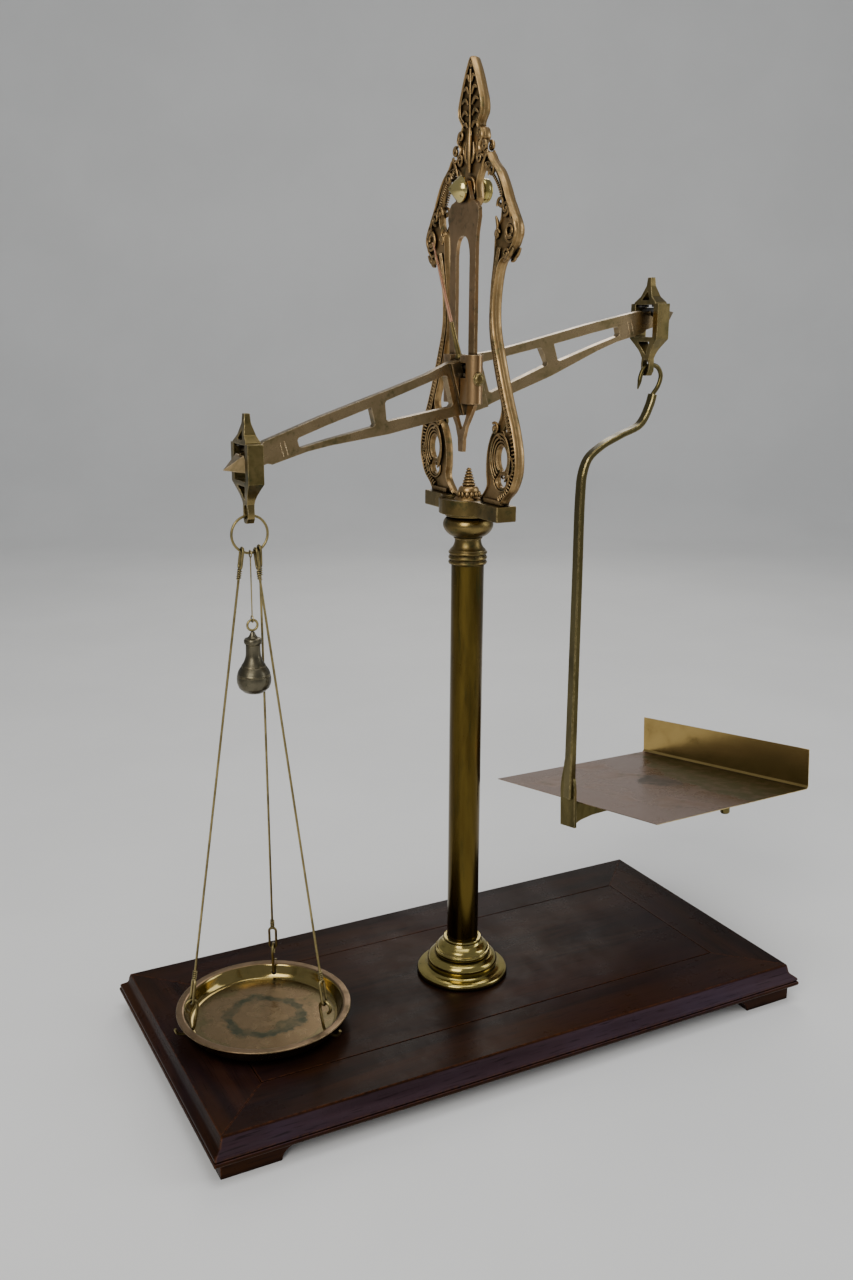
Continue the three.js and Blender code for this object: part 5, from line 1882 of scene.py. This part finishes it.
@dataclass
class GoodsSide:
    """The sheet plate with its upstand, the fork under it and the bent hanger."""

    bench: Bench
    centre: tuple[float, float, float] = (188.4, 0.0, 133.0)
    depth: float = 188.0
    width: float = 194.0
    turn: tuple[float, float, float] = (-7.0, 2.8, 8.5)
    sheet: float = 0.6
    upstand: float = 35.0
    fold: float = 3.4
    fork: tuple[float, float] = (104.0, 82.0)
    stud_from_end: float = 5.0
    hang: tuple[float, float] = (162.963, 539.217)
    eye_drop: float = 44.6

    def turned_frame(self) -> Matrix:
        """The plate's turn: first about X, then Z, then Y."""
        x, y, z = (math.radians(angle) for angle in self.turn)
        return (Matrix.Rotation(y, 4, "Y") @ Matrix.Rotation(x, 4, "X")
                @ Matrix.Rotation(z, 4, "Z"))

    def build(self) -> None:
        """Builds the plate, the fork, the studs and the hanger."""
        place = self.bench.at(*self.centre, self.turned_frame())
        self._plate(place)
        self._fork(place)
        self._hanger()

    def _plate(self, place: Matrix) -> None:
        """Builds the folded sheet with rounded outer corners.

        Args:
            place: The plate's own frame.
        """
        edge, fold, sheet = self.depth / 2, self.fold, self.sheet
        under = [(-edge, 0.15), (-edge + 0.15, 0.0)]
        under += [(-edge + self.depth * i / 12, 0.0) for i in range(1, 12)]
        arc = [(edge - fold + fold * math.sin(a), fold - fold * math.cos(a))
               for a in (math.pi / 2 * i / 10 for i in range(11))]
        inner = fold - sheet
        back_arc = [(edge - fold + inner * math.sin(a), fold - inner * math.cos(a))
                    for a in (math.pi / 2 * i / 10 for i in range(10, -1, -1))]
        over = [(a, sheet) for a, _ in reversed(under[2:])]
        profile = [*under, *arc, (edge, self.upstand - 0.15), (edge - 0.15, self.upstand),
                   (edge - sheet + 0.15, self.upstand), (edge - sheet, self.upstand - 0.15),
                   *back_arc, *over, (-edge + 0.15, sheet), (-edge, sheet - 0.15)]
        half = self.width / 2
        steps = (-half, -half + 0.3, *(half * i / 6 for i in range(-5, 6)), half - 0.3, half)
        rows = []
        for y in steps:
            pull = 0.12 if abs(y) == half else 0.0
            rows.append([Vector((a, y, b + (pull if i < len(profile) / 2 else -pull) * 0.5))
                         for i, (a, b) in enumerate(profile)])
        shape = Shape()
        shape.loft(rows, Matrix(), False)
        piece = self.bench.fit(shape.build("goods_sheet_plate", place, 40),
                               Body.GOODS_HANGER, Slot.BRASS, Look.PLATE, "goods_plate")
        self.bench.paint(piece, Look.UPSTAND, place, lambda at, out: at.z > 1.2)

    def _fork(self, place: Matrix) -> None:
        """Softens the fork's edges and turns its two end studs.

        Args:
            place: The plate's own frame.
        """
        self.bench.soften("plate_fork", "plate_carrying_fork", Body.GOODS_HANGER, Slot.BRONZE,
                          Look.HANGER, 0.5)
        reach, spread = self.fork
        length = math.hypot(reach, spread)
        part = (length - self.stud_from_end) / length
        root = -self.depth / 2 + 0.7
        for side, name in ((-1, "front"), (1, "back")):
            local = Matrix.Translation((root + part * reach, side * part * spread, 0))
            stud = Shape().turn([(0, -11), (2.6, -11)], [(3.0, -10.9), (4.0, -9.6)],
                                [(4.0, -9.6), (4.0, -4.7)], [(3.7, -4.3), (0, -4.3)],
                                segments=36, matrix=local)
            self.bench.fit(stud.build(f"fork_turned_stud_{name}", place), Body.GOODS_HANGER,
                           Slot.BRONZE, Look.HANGER, f"fork_stud_{name}")

    def _hanger(self) -> None:
        """Builds the hanger: a hook, a bent flat bar and the wide shoe at its foot."""
        hang_x, eye_z = self.hang[0], self.hang[1] - self.eye_drop
        hook = flowing([(hang_x + a, 0.0, eye_z + b) for a, b in (
            (-8.6, -18.6), (-7.4, -14), (-6.4, -8.7), (-4, -3.4), (0, -0.7), (5, 0.2),
            (10.4, -1.8), (13.8, -7.8), (11.8, -16), (6.6, -23))], 8)
        turn, centre = self.turned_frame(), Vector(self.centre)
        edge = self.depth / 2
        foot = turn @ Vector((-edge - 3.4, 0, -13)) + centre
        drop = Vector((102.6, 0, 394))
        bar = [(hang_x + 6.6, 0.0, eye_z - 23), (hang_x + 3.8, 0.0, eye_z - 32), (158, 0, 448),
               (139, 0, 440), (121, 0, 432), (109, 0, 423), (104, 0, 411), tuple(drop)]
        bar += [tuple(drop.lerp(foot, part)) for part in (0.25, 0.5, 0.75, 0.94)]
        shape = Shape()
        shape.sweep(hook, round_section(1.8, 16), Y_WAY,
                    sizes=lambda part: min(1.0, 0.3 + part * 4.5))
        shape.sweep(flowing(bar, 8), bar_section(4.4, 7.6, 0.7), Y_WAY,
                    sizes=lambda part: 1.0 + 0.5 * max(part - 0.35, 0.0))
        shoe = Matrix.Translation(foot) @ turn
        cheek = [Vector(p) for p in ((-8.5, -8.4, 0), (8.5, -8.4, 0), (8.5, 24, 0), (7.4, 32, 0),
                                     (5.0, 41, 0), (3.8, 48, 0), (-3.8, 48, 0), (-5.0, 41, 0),
                                     (-7.4, 32, 0), (-8.5, 24, 0))]
        shape.plate(cheek, (), 3.0, 0.4, shoe @ STANDING_YZ)
        piece = shape.build("plate_bent_hanger", self.bench.at(), 34)
        self.bench.fit(piece, Body.GOODS_HANGER, Slot.BRONZE, Look.HANGER, "plate_hanger")


# ---- studio --------------------------------------------------------------------------


@dataclass
class Studio:
    """The pale floor, the soft lights and the camera."""

    datum: Vector
    lens: float = 34.35
    sensor: float = 36.0
    yaw: float = math.radians(27.6617)
    pitch: float = math.radians(14.4388)
    roll: float = math.radians(0.3327)
    eye: tuple[float, float, float] = (-458.13, -806.47, 524.47)

    def build(self) -> None:
        """Sets up the whole studio."""
        self._floor()
        self._world()
        for name, place, aim, size, power, colour in (
            ("key window", (-1.5, -1.3, 1.5), (0.0, 0.0, 0.35), (1.1, 1.5), 30.0,
             (1.0, 0.97, 0.93)),
            ("right fill", (1.5, -0.9, 0.9), (0.0, 0.0, 0.35), (0.7, 1.3), 9.0,
             (0.93, 0.96, 1.0)),
            ("back strip", (0.9, 1.5, 1.5), (0.0, 0.0, 0.4), (0.7, 1.2), 8.0,
             (1.0, 0.96, 0.9)),
            ("overhead", (-0.1, -0.2, 2.1), (0.0, 0.0, 0.2), (1.3, 1.0), 12.0,
             (1.0, 1.0, 1.0)),
        ):
            self._light(name, Vector(place), Vector(aim), size, power, colour)
        self._camera()

    def _floor(self) -> None:
        """Lays a pale floor that curves up into a backdrop."""
        run = [(-3.2, 0.0), (2.2, 0.0)]
        run += [(2.2 + 0.9 * math.sin(a), 0.9 - 0.9 * math.cos(a))
                for a in (math.pi / 2 * i / 12 for i in range(1, 13))]
        run.append((3.1, 3.6))
        turn = Matrix.Rotation(-self.yaw, 3, "Z")
        verts = [turn @ Vector((x, y, z)) for y, z in run for x in (-4.5, 4.5)]
        faces = [(2 * i, 2 * i + 1, 2 * i + 3, 2 * i + 2) for i in range(len(run) - 1)]
        mesh = bpy.data.meshes.new("studio_floor")
        mesh.from_pydata([tuple(v) for v in verts], [], faces)
        floor = shaded("studio_floor", mesh, 60)
        made, tree, shader = start_material("pale_floor")
        place = tree.node("ShaderNodeTexCoord").outputs["Object"]
        mottle = tree.remap(tree.noise(place, 3.0, 4.0), 0.3, 0.7)
        tree.link(tree.blend(mottle, (0.8, 0.8, 0.79), (0.84, 0.84, 0.83)),
                  shader.inputs["Base Color"])
        shader.inputs["Roughness"].default_value = 0.9
        floor.data.materials.append(made)

    @staticmethod
    def _world() -> None:
        """Fills the room with a soft even light."""
        world = bpy.data.worlds.new("studio")
        bpy.context.scene.world = world
        world.use_nodes = True
        back = world.node_tree.nodes["Background"]
        back.inputs["Color"].default_value = (0.93, 0.96, 1.0, 1.0)
        back.inputs["Strength"].default_value = 0.3

    @staticmethod
    def _light(name: str, place: Vector, aim: Vector, size: Point2, power: float,
               colour: Colour) -> None:
        """Hangs one soft rectangular light.

        Args:
            name: Its name.
            place: Where it hangs, in metres.
            aim: What it points at.
            size: Its width and height in metres.
            power: Its power in watts.
            colour: Its colour.
        """
        data = bpy.data.lights.new(name, "AREA")
        data.shape, data.size, data.size_y = "RECTANGLE", size[0], size[1]
        data.energy, data.color = power, colour
        made = bpy.data.objects.new(name, data)
        made.location = place
        made.rotation_euler = (aim - place).to_track_quat("-Z", "Y").to_euler()
        bpy.context.scene.collection.objects.link(made)

    def _camera(self) -> None:
        """Sets the camera at its eye point."""
        cos_p, sin_p = math.cos(self.pitch), math.sin(self.pitch)
        cos_y, sin_y = math.cos(self.yaw), math.sin(self.yaw)
        forward = Vector((sin_y * cos_p, cos_y * cos_p, -sin_p))
        level = Vector((cos_y, -sin_y, 0.0))
        over = level.cross(forward)
        cos_r, sin_r = math.cos(self.roll), math.sin(self.roll)
        right, up = cos_r * level + sin_r * over, -sin_r * level + cos_r * over
        data = bpy.data.cameras.new("camera")
        data.lens, data.sensor_width, data.sensor_height = self.lens, self.sensor, self.sensor
        data.sensor_fit = "VERTICAL"
        data.clip_start, data.clip_end = 0.01, 50.0
        made = bpy.data.objects.new("camera", data)
        turn = Matrix((right, up, -forward)).transposed()
        place = Matrix.Translation(self.datum + Vector(self.eye) * MM)
        made.matrix_world = place @ turn.to_4x4()
        bpy.context.scene.collection.objects.link(made)
        bpy.context.scene.camera = made


# ---- finishes of this scale ----------------------------------------------------------


def scale_finishes(datum: Vector) -> dict[Look, MetalFinish | MahoganyFinish]:
    """Lists the finishes.

    Args:
        datum: Where the column's axis meets the board's top, in metres.

    Returns:
        Each look's finish.
    """
    pan = datum + Vector((-175.6, 0, 0)) * MM
    plate = datum + Vector((188.4, 0, 133)) * MM
    return {
        Look.WOOD_ALONG: MahoganyFinish("mahogany_along", Grain.ALONG),
        Look.WOOD_ACROSS: MahoganyFinish("mahogany_across", Grain.ACROSS),
        # The moulding's mahogany is lighter and tinted violet: a painted sheen of reflected sky
        # over its real grain and rubbed edges.
        Look.MOULDING_SHEEN: MahoganyFinish(
            "mahogany_moulding_sheen", Grain.ALONG, (0.02, 0.011, 0.014),
            (0.045, 0.026, 0.032), (0.15, 0.06, 0.022), (0.05, 0.036, 0.062)),
        Look.CAST: MetalFinish(
            "cast_bronze", (0.42, 0.27, 0.115), (0.2, 0.125, 0.05), (0.075, 0.085, 0.035),
            (0.68, 0.5, 0.27), tarnish=0.5, polish=0.3, tarnished_roughness=0.5, reach=0.005),
        Look.TURNED: MetalFinish(
            "turned_brass", (0.4, 0.32, 0.1), (0.2, 0.15, 0.045), (0.09, 0.11, 0.03),
            (0.7, 0.58, 0.28), tarnish=0.36, polish=0.13, tarnished_roughness=0.28,
            brushing=(0.05, 0.05, 1.0)),
        # The tube's patches are stretched tall into vertical light and dark streaks: painted
        # reflections of the room, over its tarnish.
        Look.TUBE: MetalFinish(
            "tube_brass_painted_streaks", (0.13, 0.088, 0.018), (0.05, 0.031, 0.007), (0.034, 0.034, 0.01),
            (0.4, 0.3, 0.1), tarnish=0.5, polish=0.17, tarnished_roughness=0.32,
            stretch=(1.0, 1.0, 0.12), brushing=(1.0, 1.0, 0.02)),
        Look.CAPITAL: MetalFinish(
            "capital_bronze", (0.24, 0.17, 0.06), (0.1, 0.07, 0.025), (0.055, 0.06, 0.024),
            (0.5, 0.38, 0.18), tarnish=0.5, polish=0.24, tarnished_roughness=0.42),
        Look.PALE: MetalFinish(
            "knob_brass", (0.62, 0.5, 0.2), (0.36, 0.26, 0.09), (0.2, 0.2, 0.08),
            (0.8, 0.68, 0.36), tarnish=0.3, polish=0.14, tarnished_roughness=0.3),
        Look.BEAM: MetalFinish(
            "beam_brass", (0.4, 0.285, 0.15), (0.15, 0.115, 0.05), (0.1, 0.095, 0.04),
            (0.75, 0.58, 0.36), tarnish=0.46, polish=0.26, tarnished_roughness=0.4),
        Look.SHEARS: MetalFinish(
            "shears_brass", (0.4, 0.25, 0.12), (0.22, 0.14, 0.065), (0.12, 0.1, 0.05),
            (0.75, 0.58, 0.34), tarnish=0.46, polish=0.3, tarnished_roughness=0.42),
        Look.SHACKLE: MetalFinish(
            "shackle_bronze", (0.27, 0.2, 0.08), (0.11, 0.085, 0.03), (0.065, 0.065, 0.024),
            (0.6, 0.48, 0.24), tarnish=0.52, polish=0.24, tarnished_roughness=0.42),
        Look.WIRE: MetalFinish(
            "stay_wire", (0.34, 0.27, 0.11), (0.15, 0.115, 0.045), (0.08, 0.08, 0.03),
            (0.5, 0.4, 0.2), tarnish=0.5, polish=0.28, tarnished_roughness=0.42,
            patch_scale=70.0),
        Look.BOB: MetalFinish(
            "bob_bronze", (0.17, 0.15, 0.1), (0.08, 0.07, 0.046), (0.05, 0.052, 0.03),
            (0.4, 0.34, 0.2), tarnish=0.55, polish=0.26, tarnished_roughness=0.42),
        Look.PAN: MetalFinish(
            "pan_brass", (0.25, 0.17, 0.085), (0.16, 0.11, 0.055), (0.09, 0.08, 0.036),
            (0.5, 0.38, 0.2), tarnish=0.44, polish=0.2, tarnished_roughness=0.4,
            patch_scale=55.0, brushing=(1.0, 1.0, 1.0), stains=(
                Stain(pan, 23.0, 32.0, (0.045, 0.05, 0.028), 1.08, 1.0),
                Stain(pan + Vector((0.008, -0.016, 0)), 0.0, 9.0, (0.06, 0.06, 0.03), 1.3, 0.8),
                Stain(pan, 46.0, 60.0, (0.1, 0.1, 0.04), 1.0, 0.6),
            )),
        Look.PAN_WALL: MetalFinish(
            "pan_polished_wall", (0.32, 0.24, 0.085), (0.17, 0.125, 0.042), (0.09, 0.11, 0.035),
            (0.8, 0.66, 0.34), tarnish=0.44, polish=0.09, tarnished_roughness=0.24,
            brushing=(1.0, 1.0, 1.0)),
        Look.PAN_LIP: MetalFinish(
            "pan_brown_lip", (0.22, 0.145, 0.08), (0.12, 0.08, 0.042), (0.09, 0.07, 0.035),
            (0.6, 0.45, 0.24), tarnish=0.5, polish=0.3, tarnished_roughness=0.46),
        Look.UPSTAND: MetalFinish(
            "upstand_brass", (0.46, 0.32, 0.11), (0.27, 0.18, 0.055), (0.15, 0.13, 0.04),
            (0.85, 0.68, 0.32), tarnish=0.36, polish=0.2, tarnished_roughness=0.34,
            patch_scale=24.0),
        Look.PLATE: MetalFinish(
            "plate_brass", (0.26, 0.165, 0.12), (0.18, 0.115, 0.08), (0.1, 0.08, 0.045),
            (0.6, 0.46, 0.28), tarnish=0.4, polish=0.24, tarnished_roughness=0.4,
            patch_scale=22.0, brushing=(0.08, 1.0, 1.0), stains=(
                Stain(plate + Vector((0.085, -0.02, 0)), 0.0, 58.0, (0.07, 0.062, 0.02), 0.5,
                      1.0),
                Stain(plate + Vector((0.012, 0.004, 0)), 0.0, 17.0, (0.04, 0.032, 0.022), 0.75,
                      0.9),
            )),
        Look.HANGER: MetalFinish(
            "hanger_bronze", (0.15, 0.12, 0.045), (0.065, 0.052, 0.018), (0.05, 0.05, 0.02),
            (0.5, 0.4, 0.2), tarnish=0.5, polish=0.24, tarnished_roughness=0.4,
            stretch=(1.0, 1.0, 0.3)),
        Look.STEEL: MetalFinish(
            "dark_steel", (0.2, 0.2, 0.2), (0.075, 0.065, 0.055), (0.09, 0.05, 0.025),
            (0.4, 0.4, 0.4), tarnish=0.48, polish=0.3, tarnished_roughness=0.5),
        Look.COPPER: MetalFinish(
            "needle_copper", (0.62, 0.33, 0.2), (0.36, 0.17, 0.09), (0.2, 0.12, 0.07),
            (0.8, 0.5, 0.34), tarnish=0.36, polish=0.22, tarnished_roughness=0.36),
    }


# ---- the whole scale -----------------------------------------------------------------


def main() -> None:
    """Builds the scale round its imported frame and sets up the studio."""
    logging.basicConfig(level=logging.INFO, format="%(name)s: %(message)s")
    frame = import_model()
    foot_low, foot_high = (Vector(corner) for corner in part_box("column_foot"))
    datum = (foot_low + foot_high) / 2
    datum.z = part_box("base_panel")[1][2]
    groups = SharedGroups()
    looks = {look: finish.material(groups) for look, finish in scale_finishes(datum).items()}
    bench = Bench(frame["nodes"], datum, looks, row_tree())
    for part in (Base, Column, Yoke, LyreFrame, TopPin, Shears, Beam, Shackles, PanSide,
                 GoodsSide):
        part(bench).build()
    Studio(datum).build()


if __name__ == "__main__":
    main()
